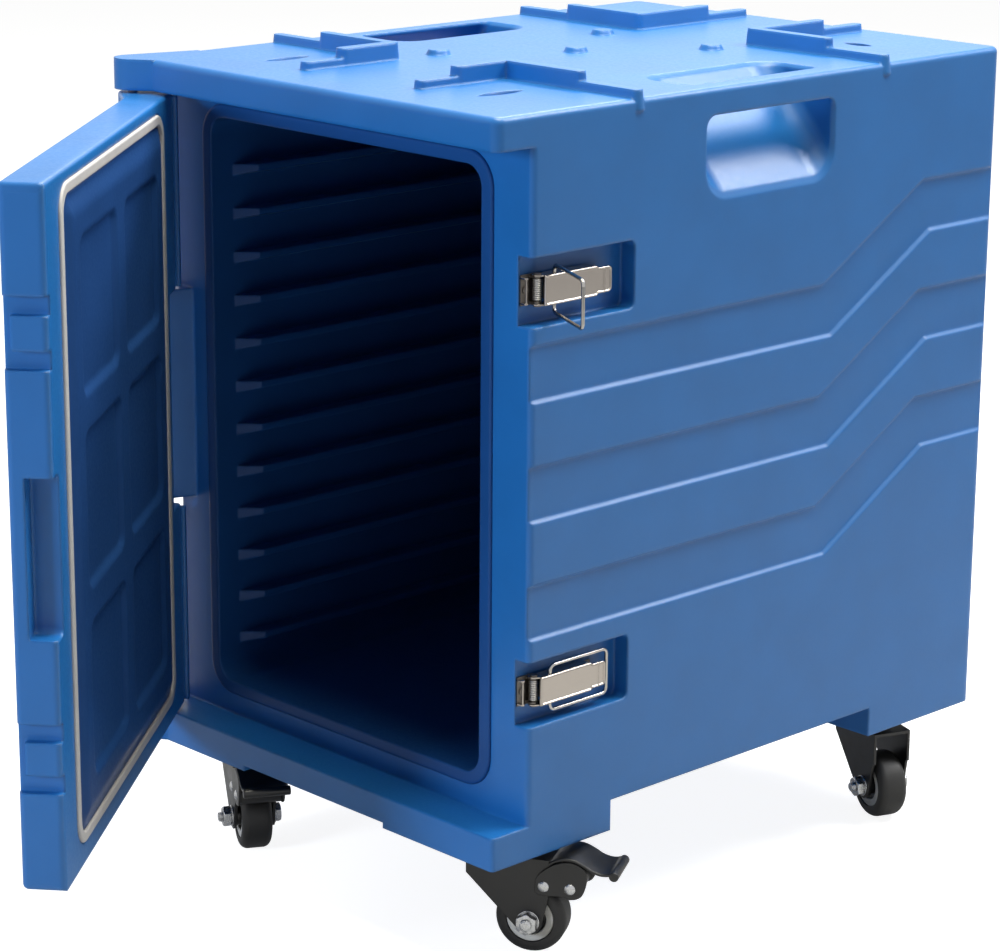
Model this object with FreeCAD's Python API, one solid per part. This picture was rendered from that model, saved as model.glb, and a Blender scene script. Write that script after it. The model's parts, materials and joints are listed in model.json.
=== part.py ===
import FreeCAD, Part
import math
import os

# Insulated food transport cart: a front-loading insulated pan carrier on four swivel casters.
# Millimetres, +Z up. The pieces are drawn with the recessed front face at y = 0, the floor at z = 0
# and the cabinet centred on x = 0, and are moved to the part's frame when they are written.

# Cabinet
WIDTH = 456.0
DEPTH = 592.0
LIP = 40.0
FOOT_Z = 100.0
LIP_LOW_Z = 105.0
UNDER_Z = 127.5
LIP_TOP_Z = 129.0
TOP_Z = 724.0
LID_THICK = 27.0
SKIN = 5.0
FOOT_WIDE = 135.0
FRONT_FOOT_BACK = 99.0
REAR_FOOT_LONG = 152.0
TOP_ROUND = 5.0
LID_CORNER_R = 9.0
REAR_CORNER_R = 11.0
FRONT_EDGE_R = 5.0
LIP_CORNER_R = 4.0

# Pan cavity and its liner
SIDE_WALL = 56.0
SILL = 31.0
ROOF_WALL = 48.0
BACK_WALL = 32.0
CAVITY_R = 18.0
LINER_WALL = 3.5
LINER_FIT = 0.5
RIM_WIDTH = 12.0
RIM_PROUD = 2.6
RIM_ROUND = 1.8
RAIL_COUNT = 12
FIRST_RAIL_RISE = 38.0
TOP_PAN_SPACE = 45.7
RAIL_REACH = 16.0
RAIL_TIP = 6.0
RAIL_ROOT = 11.0
RAIL_FRONT = 20.0

# Carrying handles moulded through the upper side walls
GRIP_LONG = 157.0
GRIP_FORWARD = 14.5
GRIP_DROP = 92.0
GRIP_ROOF = 26.0
GRIP_REACH = 82.0
GRIP_LOW_R = 24.0
GRIP_HIGH_R = 8.0
GRIP_SKIN = 7.5
GRIP_FLARE = 3.0

# Zigzag bands pressed into the sides
BAND_COUNT = 3
BAND_WIDTH = 49.0
BAND_PITCH = 100.0
BAND_DROP = 210.0
BAND_RISE = 77.0
BAND_KINK_LONG = 133.0
BAND_KINK_TO_BACK = 98.0
BAND_DEPTH = 3.0
BAND_SLOPE = 2.5
BAND_RUN_OUT = 4.0

# Stacking ridges, slits and bumps on the lid
RIDGE_SIDE = 156.0
RIDGE_FRONT_Y = 120.0
RIDGE_TO_BACK = 162.0
RIDGE_FRONT_END = 24.0
RIDGE_BACK_END = 20.0
RIDGE_FRONT_STEP = 64.0
RIDGE_BACK_STEP = 74.0
RIDGE_SIDE_STEP = 70.0
RIDGE_BASE_R = 7.5
RIDGE_TOP_R = 5.5
RIDGE_LOW = 7.0
RIDGE_HIGH = 15.0
RIDGE_OVERHANG = 2.0
RIDGE_FALL = 10.0
SLIT_SIDE = 94.0
SLIT_FRONT_Y = 54.0
SLIT_TO_BACK = 90.0
SLIT_FRONT_LONG = 52.0
SLIT_BACK_LONG = 32.0
SLIT_WIDE = 13.0
SLIT_DEPTH = 3.5
BUMP_SIDE = 160.0
BUMP_FRONT_Y = 172.0
BUMP_TO_BACK = 214.0
BUMP_R = 12.5
BUMP_TOP_R = 9.0
BUMP_HIGH = 4.5

# Door and its hinge
DOOR_OPEN_DEG = 50.0
HINGE_OUT = 3.0
HINGE_FORWARD = 0.5
EAR_R = 16.0
EAR_FRONT_RUN = 28.0
EAR_SIDE_RUN = 70.0
KNUCKLE_R = 13.0
KNUCKLE_RUN = 42.0
KNUCKLE_BACK = 24.85
MID_KNUCKLE_LONG = 192.0
MID_KNUCKLE_RISE = 8.0
MID_NECK_RUN = 29.0
ROD_R = 4.0
ROD_SEAT = 20.0
RUN_FIT = 0.05
BUSH_R = 6.5
BUSH_LONG = 14.0
DOOR_THICK = 35.5
DOOR_LOW_GAP = 5.0
DOOR_HIGH_GAP = 5.5
DOOR_START = 2.0
DOOR_SET_IN = 2.0
DOOR_SKIN = 4.5
DOOR_EDGE_R = 5.0
DOOR_LEDGE = 7.0
NOTCH_REACH = 32.0
NOTCH_GAP = 3.0
SEAL_SIDE_LAP = 13.0
SEAL_END_LAP = 9.0
SEAL_R = 25.0
SEAL_WIDE = 9.4
SEAL_PROUD = 2.0
SEAL_SINK = 4.5
SEAL_FIT = 0.5
SEAL_ROUND = 2.0
PANEL_FLANGE = 3.0
PANEL_PROUD = 7.0
PANEL_BEVEL = 10.0
PANEL_ROWS = 3
PANEL_COLUMNS = 2
PANEL_RIB = 26.0
PANEL_SINK = 4.0
FOAM_FIT = 0.3
PULL_LONG = 129.0
PULL_FALL = 7.5
PULL_DEEP = 18.0
PULL_START = 13.0
PULL_R = 6.0

# Draw latches in pockets on the right side
UPPER_LATCH_DROP = 143.5
LOWER_LATCH_Z = 243.5
BAIL_SWUNG_DEG = {"upper": 115.0, "lower": 0.0}
POCKET_HALF = 28.5
POCKET_BACK = 117.0
POCKET_DEEP = 16.0
POCKET_R = 6.0
STRIKE_DEEP = 7.5
STRIKE_HALF = 13.5
STRIKE_STEP = 6.5
LATCH_SHEET = 1.5
PIVOT_Y = 15.0
PIVOT_LIFT = 6.5
PIVOT_R = 2.0
PIVOT_HALF = 13.6
PIVOT_HEAD_R = 3.2
PIVOT_HEAD = 0.9
BAIL_PIVOT_Y = 29.0
BAIL_LIFT = 11.5
BAIL_LONG = 66.3
BAIL_HALF = 19.5
BAIL_WIRE_R = 1.6
BAIL_BEND_R = 5.0
BAIL_STUB = 9.3
LEVER_HALF = 12.5
LEVER_SHEET = 1.2
LEVER_FACE_START = 22.0
LEVER_SHOULDER = 74.0
LEVER_SHOULDER_RUN = 2.0
LEVER_TIP = 90.5
LEVER_TIP_HALF = 10.8
LEVER_CURL_R = 1.8
LEVER_FACE_LIFT = 14.0
LEVER_FLANGE_LIFT = 3.5
LEVER_EYE_R = 4.6
BASE_EAR = 1.4
BASE_EAR_R = 3.6
BASE_EAR_GAP = 0.3
BASE_FRONT = 2.5
BASE_BACK = 86.0
BASE_HALF = 9.5
COIL_R = 3.2
COIL_WIRE_R = 0.55
COIL_TURNS = 8
COIL_PITCH = 1.95
WIRE_SIDES = {"coil": 4, "bail": 8}
RIVET_R = 2.0
RIVET_HEAD_R = 3.4
RIVET_HEAD = 1.1
RIVET_LONG = 5.0
RIVET_PLACES = (6.5, 48.0, 78.0)

# Swivel casters
CASTER_SIDE = 58.0
CASTER_FRONT_Y = 25.0
CASTER_TO_BACK = 84.0
CASTER_TURN_DEG = {"front_right": 31.0, "front_left": -29.0, "rear_right": -21.0, "rear_left": 200.0}
TRAIL = 30.0
WHEEL_R = 31.0
TREAD_HALF = 14.0
TREAD_FLAT_HALF = 7.0
TYRE_INNER_R = 20.8
CORE_R = 20.5
CORE_HALF = 12.6
CORE_BORE_R = 13.9
HUB_R = 13.6
HUB_HALF = 8.0
HUB_BOSS_R = 9.0
HUB_BOSS_HALF = 16.0
AXLE_R = 5.0
AXLE_HEAD_FLAT = 16.0
AXLE_HEAD = 6.0
AXLE_NUT_FLAT = 17.0
AXLE_NUT = 8.0
AXLE_TAIL = 5.0
FORK_INNER = 16.5
FORK_SHEET = 2.5
FORK_BACK = -25.0
FORK_FRONT = 50.0
FORK_TOP_Z = 88.0
FORK_ROOF = 3.0
FORK_EYE_R = 12.0
FORK_KNEE = (-25.0, 70.0)
FORK_HIP = (48.0, 58.0)
CROWN_R = 25.0
CROWN_Z = 90.6
RACE_R = 23.0
RACE_Z = 91.0
PLATE_THICK = 3.0
PLATE_LONG = 88.0
PLATE_WIDE = 66.0
PLATE_R = 9.0
KING_R = 5.0
KING_HEAD_R = 9.0
KING_HEAD = 2.5
KING_FIT = 0.3
BOLT_LONG_X = 35.0
BOLT_WIDE_Y = 24.0
BOLT_R = 4.0
BOLT_FIT = 0.3
BOLT_FLAT = 13.0
BOLT_HEAD = 5.2
BOLT_REACH = 16.0
PEDAL_PIN_X = 43.5
PEDAL_PIN_Z = 65.0
PEDAL_PIN_R = 4.0
PEDAL_RIVET_X = 66.5
PEDAL_HEAD_R = 4.9
PEDAL_HEAD = 1.8
PEDAL_SHEET = 2.0
PEDAL_GAP = 0.4
PEDAL_ROOF = 2.6
SHOE_R = 9.0

# Places that follow from the sizes above
HALF = WIDTH / 2
LID_LOW_Z = TOP_Z - LID_THICK
CAVITY_HALF = HALF - SIDE_WALL
CAVITY_LOW = LIP_TOP_Z + SILL
CAVITY_HIGH = TOP_Z - ROOF_WALL
CAVITY_BACK = DEPTH - BACK_WALL
RAIL_LOW_Z = CAVITY_LOW + FIRST_RAIL_RISE
RAIL_PITCH = (CAVITY_HIGH - TOP_PAN_SPACE - RAIL_LOW_Z) / (RAIL_COUNT - 1)
REAR_FOOT_FRONT = DEPTH - REAR_FOOT_LONG
FOOT_INNER_X = HALF - FOOT_WIDE
GRIP_FRONT = (DEPTH - GRIP_LONG) / 2 - GRIP_FORWARD
GRIP_BACK = GRIP_FRONT + GRIP_LONG
GRIP_LOW_Z = TOP_Z - GRIP_DROP
GRIP_HIGH_Z = TOP_Z - GRIP_ROOF
GRIP_SLOPE = GRIP_DROP / GRIP_REACH
BAND_KINK_END = DEPTH - BAND_KINK_TO_BACK
BAND_KINK_START = BAND_KINK_END - BAND_KINK_LONG
HINGE_X = -HALF - HINGE_OUT
HINGE_Y = -LIP - HINGE_FORWARD
MID_KNUCKLE_LOW = (LIP_TOP_Z + LID_LOW_Z - MID_KNUCKLE_LONG) / 2 + MID_KNUCKLE_RISE
MID_KNUCKLE_HIGH = MID_KNUCKLE_LOW + MID_KNUCKLE_LONG
DOOR_LOW = LIP_TOP_Z + DOOR_LOW_GAP
DOOR_HIGH = LID_LOW_Z - DOOR_HIGH_GAP
DOOR_HINGE_SIDE = HINGE_X + DOOR_START
DOOR_LATCH_SIDE = HALF - DOOR_SET_IN
DOOR_INNER_Y = HINGE_Y + DOOR_THICK
SEAL_HALF = CAVITY_HALF + SEAL_SIDE_LAP
SEAL_LOW = CAVITY_LOW - SEAL_END_LAP
SEAL_HIGH = CAVITY_HIGH + SEAL_END_LAP
LATCH_HEIGHTS = {"upper": TOP_Z - UPPER_LATCH_DROP, "lower": LOWER_LATCH_Z}
PULL_LOW = (sum(LATCH_HEIGHTS.values()) - PULL_LONG) / 2 - PULL_FALL
PULL_HIGH = PULL_LOW + PULL_LONG
CASTER_X = HALF - CASTER_SIDE
CASTER_BACK_Y = DEPTH - CASTER_TO_BACK
SIDES = (1, -1)
UP = FreeCAD.Vector(0, 0, 1)
ALONG_Y = FreeCAD.Vector(0, 1, 0)

# The part's overall box: the hinge ear on the left, the swung bail on the right, the open door in front
LEFT_X = HINGE_X - EAR_R
RIGHT_X = HALF - POCKET_DEEP + BAIL_LIFT + BAIL_WIRE_R
RIGHT_X += BAIL_LONG * math.sin(math.radians(BAIL_SWUNG_DEG["upper"]))
FRONT_Y = HINGE_Y - (DOOR_LATCH_SIDE - HINGE_X) * math.sin(math.radians(DOOR_OPEN_DEG))
FRAME_SHIFT = FreeCAD.Vector(-(LEFT_X + RIGHT_X) / 2, -(FRONT_Y + DEPTH) / 2, 0)


def vec(x, y, z):
    return FreeCAD.Vector(x, y, z)


def box(x0, x1, y0, y1, z0, z1):
    return Part.makeBox(x1 - x0, y1 - y0, z1 - z0, vec(x0, y0, z0))


def rod(radius, start, end):
    axis = end.sub(start)
    return Part.makeCylinder(radius, axis.Length, start, axis)


def prism(points, run):
    """A straight-sided outline swept along a vector."""
    return Part.Face(Part.makePolygon(list(points) + [points[0]])).extrude(run)


def join(shapes):
    """One solid out of several that overlap or share faces."""
    shapes = list(shapes)
    return shapes[0].multiFuse(shapes[1:]).removeSplitter()


def mirrored(shape):
    return shape.mirror(vec(0, 0, 0), vec(1, 0, 0))


def upright_rect(half, low, high, radius, y, mid=0.0):
    """Outline of a rounded rectangle standing across the cart at a given y."""
    x0, x1 = mid - half, mid + half
    k = radius * (1 - math.sqrt(0.5))
    corners = (
        ((x1, low + radius), (x1 - k, low + k), (x1 - radius, low)),
        ((x0 + radius, low), (x0 + k, low + k), (x0, low + radius)),
        ((x0, high - radius), (x0 + k, high - k), (x0 + radius, high)),
        ((x1 - radius, high), (x1 - k, high - k), (x1, high - radius)),
    )
    edges = []
    for here, after in zip(corners, corners[1:] + corners[:1]):
        start, middle, end = (vec(x, y, z) for x, z in here)
        edges.append(Part.Arc(start, middle, end).toShape())
        edges.append(Part.makeLine(end, vec(after[0][0], y, after[0][1])))
    return Part.Wire(edges)


def upright_block(half, low, high, radius, y0, y1, mid=0.0):
    face = Part.Face(upright_rect(half, low, high, radius, y0, mid))
    return face.extrude(vec(0, y1 - y0, 0))


def slot_outline(start, end, radius):
    """Outline of a flat bar with round ends between two points at one height."""
    along = end.sub(start).normalize()
    across = UP.cross(along)
    a = start.add(across * radius)
    b = start.sub(across * radius)
    c = end.sub(across * radius)
    d = end.add(across * radius)
    return Part.Wire([
        Part.Arc(a, start.sub(along * radius), b).toShape(),
        Part.makeLine(b, c),
        Part.Arc(c, end.add(along * radius), d).toShape(),
        Part.makeLine(d, a),
    ])


def hexagon(flat, centre, axis, length):
    """A hexagonal prism by its width across flats; axis is +Z or -Z, +Y or -Y."""
    corner = flat / math.sqrt(3)
    points = []
    for n in range(6):
        a = math.radians(60 * n)
        u = corner * math.cos(a)
        v = corner * math.sin(a)
        points.append(centre.add(vec(u, v, 0) if axis.z else vec(u, 0, v)))
    return prism(points, axis * length)


def tangent(centre, radius, point, side):
    """Angle of the point where a line from outside touches a circle; side is +1 or -1."""
    dx, dy = point[0] - centre[0], point[1] - centre[1]
    return math.atan2(dy, dx) + side * math.acos(radius / math.hypot(dx, dy))


def on_circle(centre, radius, angle):
    return (centre[0] + radius * math.cos(angle), centre[1] + radius * math.sin(angle))


def lobe(centre, radius, first, second, inner, place):
    """A flat lug: from one point round an eye to a second point, and back by inner points.

    The outline leaves first on a tangent, follows the eye clockwise and reaches second on a tangent.
    place turns a pair of numbers into a point in space.
    """
    a0 = tangent(centre, radius, first, -1)
    a1 = tangent(centre, radius, second, 1)
    while a1 > a0:
        a1 -= 2 * math.pi
    t0 = place(*on_circle(centre, radius, a0))
    middle = place(*on_circle(centre, radius, (a0 + a1) / 2))
    t1 = place(*on_circle(centre, radius, a1))
    chain = [place(*second)] + [place(*p) for p in inner] + [place(*first)]
    edges = [Part.makeLine(place(*first), t0), Part.Arc(t0, middle, t1).toShape()]
    edges.append(Part.makeLine(t1, chain[0]))
    edges += [Part.makeLine(p, q) for p, q in zip(chain, chain[1:])]
    return Part.Face(Part.Wire(edges))


def edges_at(shape, test):
    """Edges whose middle and direction pass a test."""
    found = []
    for edge in shape.Edges:
        start, end = edge.Vertexes[0].Point, edge.Vertexes[-1].Point
        run = end.sub(start)
        if run.Length > 1 and test(edge.CenterOfMass, run.normalize()):
            found.append(edge)
    return found


def near(a, b):
    return abs(a - b) < 0.01


# Cabinet outer shell

def cabinet_block():
    """The moulded body from its side view, with its corners rounded."""
    outline = (
        (-LIP, LID_LOW_Z), (-LIP, TOP_Z), (DEPTH, TOP_Z), (DEPTH, FOOT_Z), (REAR_FOOT_FRONT, FOOT_Z),
        (REAR_FOOT_FRONT, UNDER_Z), (FRONT_FOOT_BACK, UNDER_Z), (FRONT_FOOT_BACK, FOOT_Z),
        (-LIP, FOOT_Z), (-LIP, LIP_TOP_Z), (0, LIP_TOP_Z), (0, LID_LOW_Z),
    )
    block = prism([vec(-HALF, y, z) for y, z in outline], vec(WIDTH, 0, 0))

    def upright(y, low, high):
        def test(middle, run):
            return abs(run.z) > 0.99 and near(middle.y, y) and low < middle.z < high
        return test

    rounds = (
        (upright(0, LIP_TOP_Z, LID_LOW_Z), FRONT_EDGE_R),
        (upright(-LIP, LID_LOW_Z, TOP_Z), LID_CORNER_R),
        (upright(-LIP, FOOT_Z, LIP_TOP_Z), LIP_CORNER_R),
        (upright(DEPTH, FOOT_Z, TOP_Z), REAR_CORNER_R),
    )
    for test, radius in rounds:
        block = block.makeFillet(radius, edges_at(block, test))
    rim = [e for e in block.Edges if near(e.BoundBox.ZMin, TOP_Z)]
    return block.makeFillet(TOP_ROUND, rim)


def under_relief():
    """The hollows between the feet: deep behind the lip, shallow through it."""
    inner = FOOT_INNER_X
    behind = SKIN + LIP_CORNER_R
    return [
        box(-inner, inner, -LIP - 1, behind, FOOT_Z - 1, LIP_LOW_Z),
        box(-inner, inner, behind, FRONT_FOOT_BACK + 1, FOOT_Z - 1, UNDER_Z),
        box(-inner, inner, REAR_FOOT_FRONT - 1, DEPTH + 1, FOOT_Z - 1, UNDER_Z),
    ]


def hinge_ear(low, high):
    """A round ear on the front left corner that holds an end of the hinge rod."""
    face = lobe(
        (HINGE_X, HINGE_Y), EAR_R,
        (HINGE_X + EAR_FRONT_RUN, -LIP), (-HALF, HINGE_Y + EAR_SIDE_RUN),
        [(HINGE_X + EAR_FRONT_RUN, HINGE_Y + EAR_SIDE_RUN)],
        lambda x, y: vec(x, y, low),
    )
    return face.extrude(vec(0, 0, high - low))


def middle_knuckle():
    """The cabinet's own knuckle half way up the hinge, clear of the door when it is folded back."""
    low = MID_KNUCKLE_LOW
    left = -HALF
    drop = math.sqrt(KNUCKLE_R ** 2 - (left - HINGE_X) ** 2)
    neck = [
        vec(left, HINGE_Y + drop, low), vec(left, SKIN, low), vec(HINGE_X + MID_NECK_RUN, SKIN, low),
        vec(HINGE_X + KNUCKLE_R, HINGE_Y, low), vec(left, HINGE_Y, low),
    ]
    high = MID_KNUCKLE_HIGH - low
    eye = rod(KNUCKLE_R, vec(HINGE_X, HINGE_Y, low), vec(HINGE_X, HINGE_Y, MID_KNUCKLE_HIGH))
    return eye.fuse(prism(neck, vec(0, 0, high)))


def ridge(side, corner_y, end_y, step_y):
    """An L-shaped stacking ridge, tall at its corner, lower along its arms, folded over the lid's side."""
    low = TOP_Z - RIDGE_FALL
    inner = side * (HALF - RIDGE_SIDE)
    corner = vec(inner, corner_y, low)
    ends = (
        (vec(side * (HALF - RIDGE_BASE_R + RIDGE_OVERHANG), corner_y, low), RIDGE_LOW),
        (vec(side * (HALF - RIDGE_SIDE_STEP), corner_y, low), RIDGE_HIGH),
        (vec(inner, end_y, low), RIDGE_LOW),
        (vec(inner, step_y, low), RIDGE_HIGH),
    )
    arms = []
    for end, high in ends:
        lift = vec(0, 0, RIDGE_FALL + high)
        foot = slot_outline(corner, end, RIDGE_BASE_R)
        crest = slot_outline(corner.add(lift), end.add(lift), RIDGE_TOP_R)
        arms.append(Part.makeLoft([foot, crest], True, True))
    return join(arms)


def bump(x, y):
    """A low flat-topped stud on the lid."""
    return Part.makeCone(BUMP_R, BUMP_TOP_R, BUMP_HIGH + SKIN / 2, vec(x, y, TOP_Z - SKIN / 2))


def lid_slit(x, y, long, along_x):
    """A shallow lens-shaped dimple in the lid."""
    wide = SLIT_WIDE / 2
    low = TOP_Z - SLIT_DEPTH
    run = vec(long / 2, 0, 0) if along_x else vec(0, long / 2, 0)
    bulge = vec(0, wide, 0) if along_x else vec(wide, 0, 0)
    middle = vec(x, y, low)
    start, end = middle.sub(run), middle.add(run)
    outline = Part.Wire([
        Part.Arc(start, middle.add(bulge), end).toShape(),
        Part.Arc(end, middle.sub(bulge), start).toShape(),
    ])
    return Part.Face(outline).extrude(vec(0, 0, SLIT_DEPTH + 1))


def grip_outline(grow, place):
    """Outline of a handle's mouth on the right side wall; place turns (y, z) there into a point."""
    y0, y1 = GRIP_FRONT - grow, GRIP_BACK + grow
    z0, z1 = GRIP_LOW_Z - grow, GRIP_HIGH_Z + grow
    a, b = GRIP_LOW_R + grow, GRIP_HIGH_R + grow
    k = 1 - math.sqrt(0.5)
    corners = (
        ((y0, z0 + a), (y0 + k * a, z0 + k * a), (y0 + a, z0)),
        ((y1 - a, z0), (y1 - k * a, z0 + k * a), (y1, z0 + a)),
        ((y1, z1 - b), (y1 - k * b, z1 - k * b), (y1 - b, z1)),
        ((y0 + b, z1), (y0 + k * b, z1 - k * b), (y0, z1 - b)),
    )
    edges = []
    for here, after in zip(corners, corners[1:] + corners[:1]):
        start, middle, end = (place(y, z) for y, z in here)
        edges.append(Part.Arc(start, middle, end).toShape())
        edges.append(Part.makeLine(end, place(*after[0])))
    return Part.Wire(edges)


def into_side(depth):
    """Carries a point of the mouth up the slope of the hand space, to a depth behind the side wall."""
    return lambda y, z: vec(HALF - depth, y, z + depth * GRIP_SLOPE)


def onto_level(z_level):
    """Carries a point of the mouth up the slope of the hand space, to a level."""
    return lambda y, z: vec(HALF - (z_level - z) / GRIP_SLOPE, y, z_level)


def grip_tunnel(grow=0.0):
    """The hand space of the right handle: its mouth carried up a slope from the side to the lid."""
    outside = 2 * SKIN
    mouth = Part.Face(grip_outline(grow, into_side(-outside)))
    run = outside + GRIP_REACH + GRIP_DROP / 2
    return mouth.extrude(vec(-run, 0, run * GRIP_SLOPE))


def grip_spaces():
    """The hand space with both its mouths opened out."""
    over = GRIP_FLARE / 5
    wide = GRIP_FLARE + over
    deep = 2 * GRIP_FLARE
    side = [grip_outline(wide, into_side(-over)), grip_outline(-GRIP_FLARE, into_side(deep))]
    top = [grip_outline(wide, onto_level(TOP_Z + over)), grip_outline(-GRIP_FLARE, onto_level(TOP_Z - deep))]
    return [grip_tunnel()] + [Part.makeLoft(wires, True, True) for wires in (side, top)]


def grip_bar():
    """The bar above the hand space, left without insulation."""
    inner = HALF - GRIP_ROOF / GRIP_SLOPE - GRIP_SKIN
    return box(inner, HALF, GRIP_FRONT - GRIP_SKIN, GRIP_BACK + GRIP_SKIN, GRIP_HIGH_Z, TOP_Z)


def zigzag(middle_z, half, x):
    """Outline of one side band: level, then rising, then level again, and past both ends of the side."""
    turn = math.atan2(BAND_RISE, BAND_KINK_END - BAND_KINK_START)
    lean = half * math.tan(turn / 2)
    y0, y1 = -BAND_RUN_OUT, DEPTH + BAND_RUN_OUT
    low, high = middle_z, middle_z + BAND_RISE
    return [
        vec(x, y0, low - half), vec(x, BAND_KINK_START + lean, low - half),
        vec(x, BAND_KINK_END + lean, high - half), vec(x, y1, high - half),
        vec(x, y1, high + half), vec(x, BAND_KINK_END - lean, high + half),
        vec(x, BAND_KINK_START - lean, low + half), vec(x, y0, low + half),
    ]


def side_band(n):
    """A shallow band with sloping edges, sunk into the right side."""
    middle_z = TOP_Z - BAND_DROP - n * BAND_PITCH
    wires = []
    for lift, inset in ((1.0, -BAND_SLOPE / BAND_DEPTH), (-BAND_DEPTH, BAND_SLOPE)):
        points = zigzag(middle_z, BAND_WIDTH / 2 - inset, HALF + lift)
        wires.append(Part.makePolygon(points + points[:1]))
    return Part.makeLoft(wires, True, True)


def latch_pocket(height, grow=0.0):
    """A pocket for a latch in the right side, open at the front edge."""
    half = POCKET_HALF + grow
    block = box(
        HALF - POCKET_DEEP - grow, HALF + 1, -1, POCKET_BACK + grow, height - half, height + half,
    )
    back = edges_at(block, lambda m, run: abs(run.x) > 0.99 and m.y > POCKET_BACK / 2)
    return block.makeFillet(POCKET_R, back)


def insulation_space(gap=0.0):
    """The space for insulation inside the skin, kept off the handles and the latch pockets."""
    side = HALF - SKIN
    spaces = box(-side, side, SKIN, DEPTH - SKIN, UNDER_Z + SKIN, TOP_Z - SKIN)
    nose = box(-side, side, SKIN - LIP, SKIN, LID_LOW_Z + SKIN, TOP_Z - SKIN)
    grip = grip_tunnel(GRIP_SKIN + gap).fuse(grip_bar())
    solids = [grip, mirrored(grip)]
    solids += [latch_pocket(z, SKIN + gap) for z in LATCH_HEIGHTS.values()]
    return spaces.fuse(nose).removeSplitter().cut(solids)


def caster_places():
    for name in CASTER_TURN_DEG:
        end, side = name.split("_")
        x = CASTER_X if side == "right" else -CASTER_X
        yield name, x, CASTER_FRONT_Y if end == "front" else CASTER_BACK_Y


def bolt_places():
    for _, x, y in caster_places():
        for sx in SIDES:
            for sy in SIDES:
                yield x + sx * BOLT_LONG_X, y + sy * BOLT_WIDE_Y


def outer_shell():
    bands = [side_band(n) for n in range(BAND_COUNT)]
    body = cabinet_block().cut(under_relief() + bands + [mirrored(b) for b in bands])
    added = [hinge_ear(LID_LOW_Z, TOP_Z), hinge_ear(FOOT_Z, LIP_TOP_Z), middle_knuckle()]
    for side in SIDES:
        added.append(ridge(side, RIDGE_FRONT_Y, RIDGE_FRONT_END, RIDGE_FRONT_STEP))
        added.append(ridge(side, DEPTH - RIDGE_TO_BACK, DEPTH - RIDGE_BACK_END, DEPTH - RIDGE_BACK_STEP))
        for y in (BUMP_FRONT_Y, DEPTH - BUMP_TO_BACK):
            added.append(bump(side * (HALF - BUMP_SIDE), y))
    added.append(bump(0, (BUMP_FRONT_Y + DEPTH - BUMP_TO_BACK) / 2))
    body = join([body] + added)
    body = body.cut(insulation_space())
    removed = [
        upright_block(
            CAVITY_HALF + LINER_WALL + LINER_FIT, CAVITY_LOW - LINER_WALL - LINER_FIT,
            CAVITY_HIGH + LINER_WALL + LINER_FIT, CAVITY_R + LINER_WALL, -1, SKIN + 1,
        ),
        hinge_rod(RUN_FIT),
    ]
    for space in grip_spaces():
        removed += [space, mirrored(space)]
    for side in SIDES:
        x = side * (HALF - SLIT_SIDE)
        removed.append(lid_slit(x, SLIT_FRONT_Y, SLIT_FRONT_LONG, False))
        removed.append(lid_slit(x, DEPTH - SLIT_TO_BACK, SLIT_BACK_LONG, True))
    floor_x = HALF - POCKET_DEEP
    for z in LATCH_HEIGHTS.values():
        removed.append(latch_pocket(z))
        for y in RIVET_PLACES:
            seat = vec(floor_x - RIVET_LONG, y, z)
            removed.append(rod(RIVET_R + RUN_FIT, seat, vec(floor_x + 1, y, z)))
    for x, y in bolt_places():
        removed.append(rod(BOLT_R + BOLT_FIT, vec(x, y, FOOT_Z - 1), vec(x, y, FOOT_Z + BOLT_REACH)))
    return body.cut(removed)


# Liner and insulation

def rail(side, z):
    """One pan rail with a flat top, a sloping underside and a slanted front end."""
    wall = side * (CAVITY_HALF + LINER_WALL / 2)
    tip = side * (CAVITY_HALF - RAIL_REACH)
    section = [
        vec(wall, RAIL_FRONT, z), vec(tip, RAIL_FRONT, z),
        vec(tip, RAIL_FRONT, z - RAIL_TIP), vec(wall, RAIL_FRONT, z - RAIL_ROOT),
    ]
    bar = prism(section, vec(0, CAVITY_BACK + LINER_WALL / 2 - RAIL_FRONT, 0))
    reach = RAIL_REACH + LINER_WALL
    slant = [
        vec(wall, RAIL_FRONT, z - RAIL_ROOT - 1), vec(tip - side, RAIL_FRONT - 1, z - RAIL_ROOT - 1),
        vec(tip - side, RAIL_FRONT + reach, z - RAIL_ROOT - 1),
    ]
    return bar.cut(prism(slant, vec(0, 0, RAIL_ROOT + 2)))


def inner_liner():
    """The pan tub: a wall with a rim lying on the cabinet's front face, and rails on both sides."""
    wall = LINER_WALL
    tub = upright_block(
        CAVITY_HALF + wall, CAVITY_LOW - wall, CAVITY_HIGH + wall, CAVITY_R + wall, 0, CAVITY_BACK + wall,
    )
    rim = upright_block(
        CAVITY_HALF + RIM_WIDTH, CAVITY_LOW - RIM_WIDTH, CAVITY_HIGH + RIM_WIDTH, CAVITY_R + RIM_WIDTH,
        -RIM_PROUD, 0,
    )
    front = [e for e in rim.Edges if near(e.BoundBox.YMax, -RIM_PROUD)]
    rim = rim.makeFillet(RIM_ROUND, front)
    space = upright_block(CAVITY_HALF, CAVITY_LOW, CAVITY_HIGH, CAVITY_R, -RIM_PROUD - 1, CAVITY_BACK)
    tub = tub.fuse(rim).removeSplitter().cut(space)
    rails = [rail(side, RAIL_LOW_Z + n * RAIL_PITCH) for side in SIDES for n in range(RAIL_COUNT)]
    return join([tub] + rails)


def foam_core():
    grow = LINER_WALL + FOAM_FIT
    tub = upright_block(
        CAVITY_HALF + grow, CAVITY_LOW - grow, CAVITY_HIGH + grow, CAVITY_R + grow, -1, CAVITY_BACK + grow,
    )
    return insulation_space(FOAM_FIT).cut(tub)


def hinge_rod(grow=0.0):
    low = LIP_TOP_Z - ROD_SEAT
    return rod(ROD_R + grow, vec(HINGE_X, HINGE_Y, low), vec(HINGE_X, HINGE_Y, LID_LOW_Z + ROD_SEAT))


# Door, drawn shut

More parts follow.
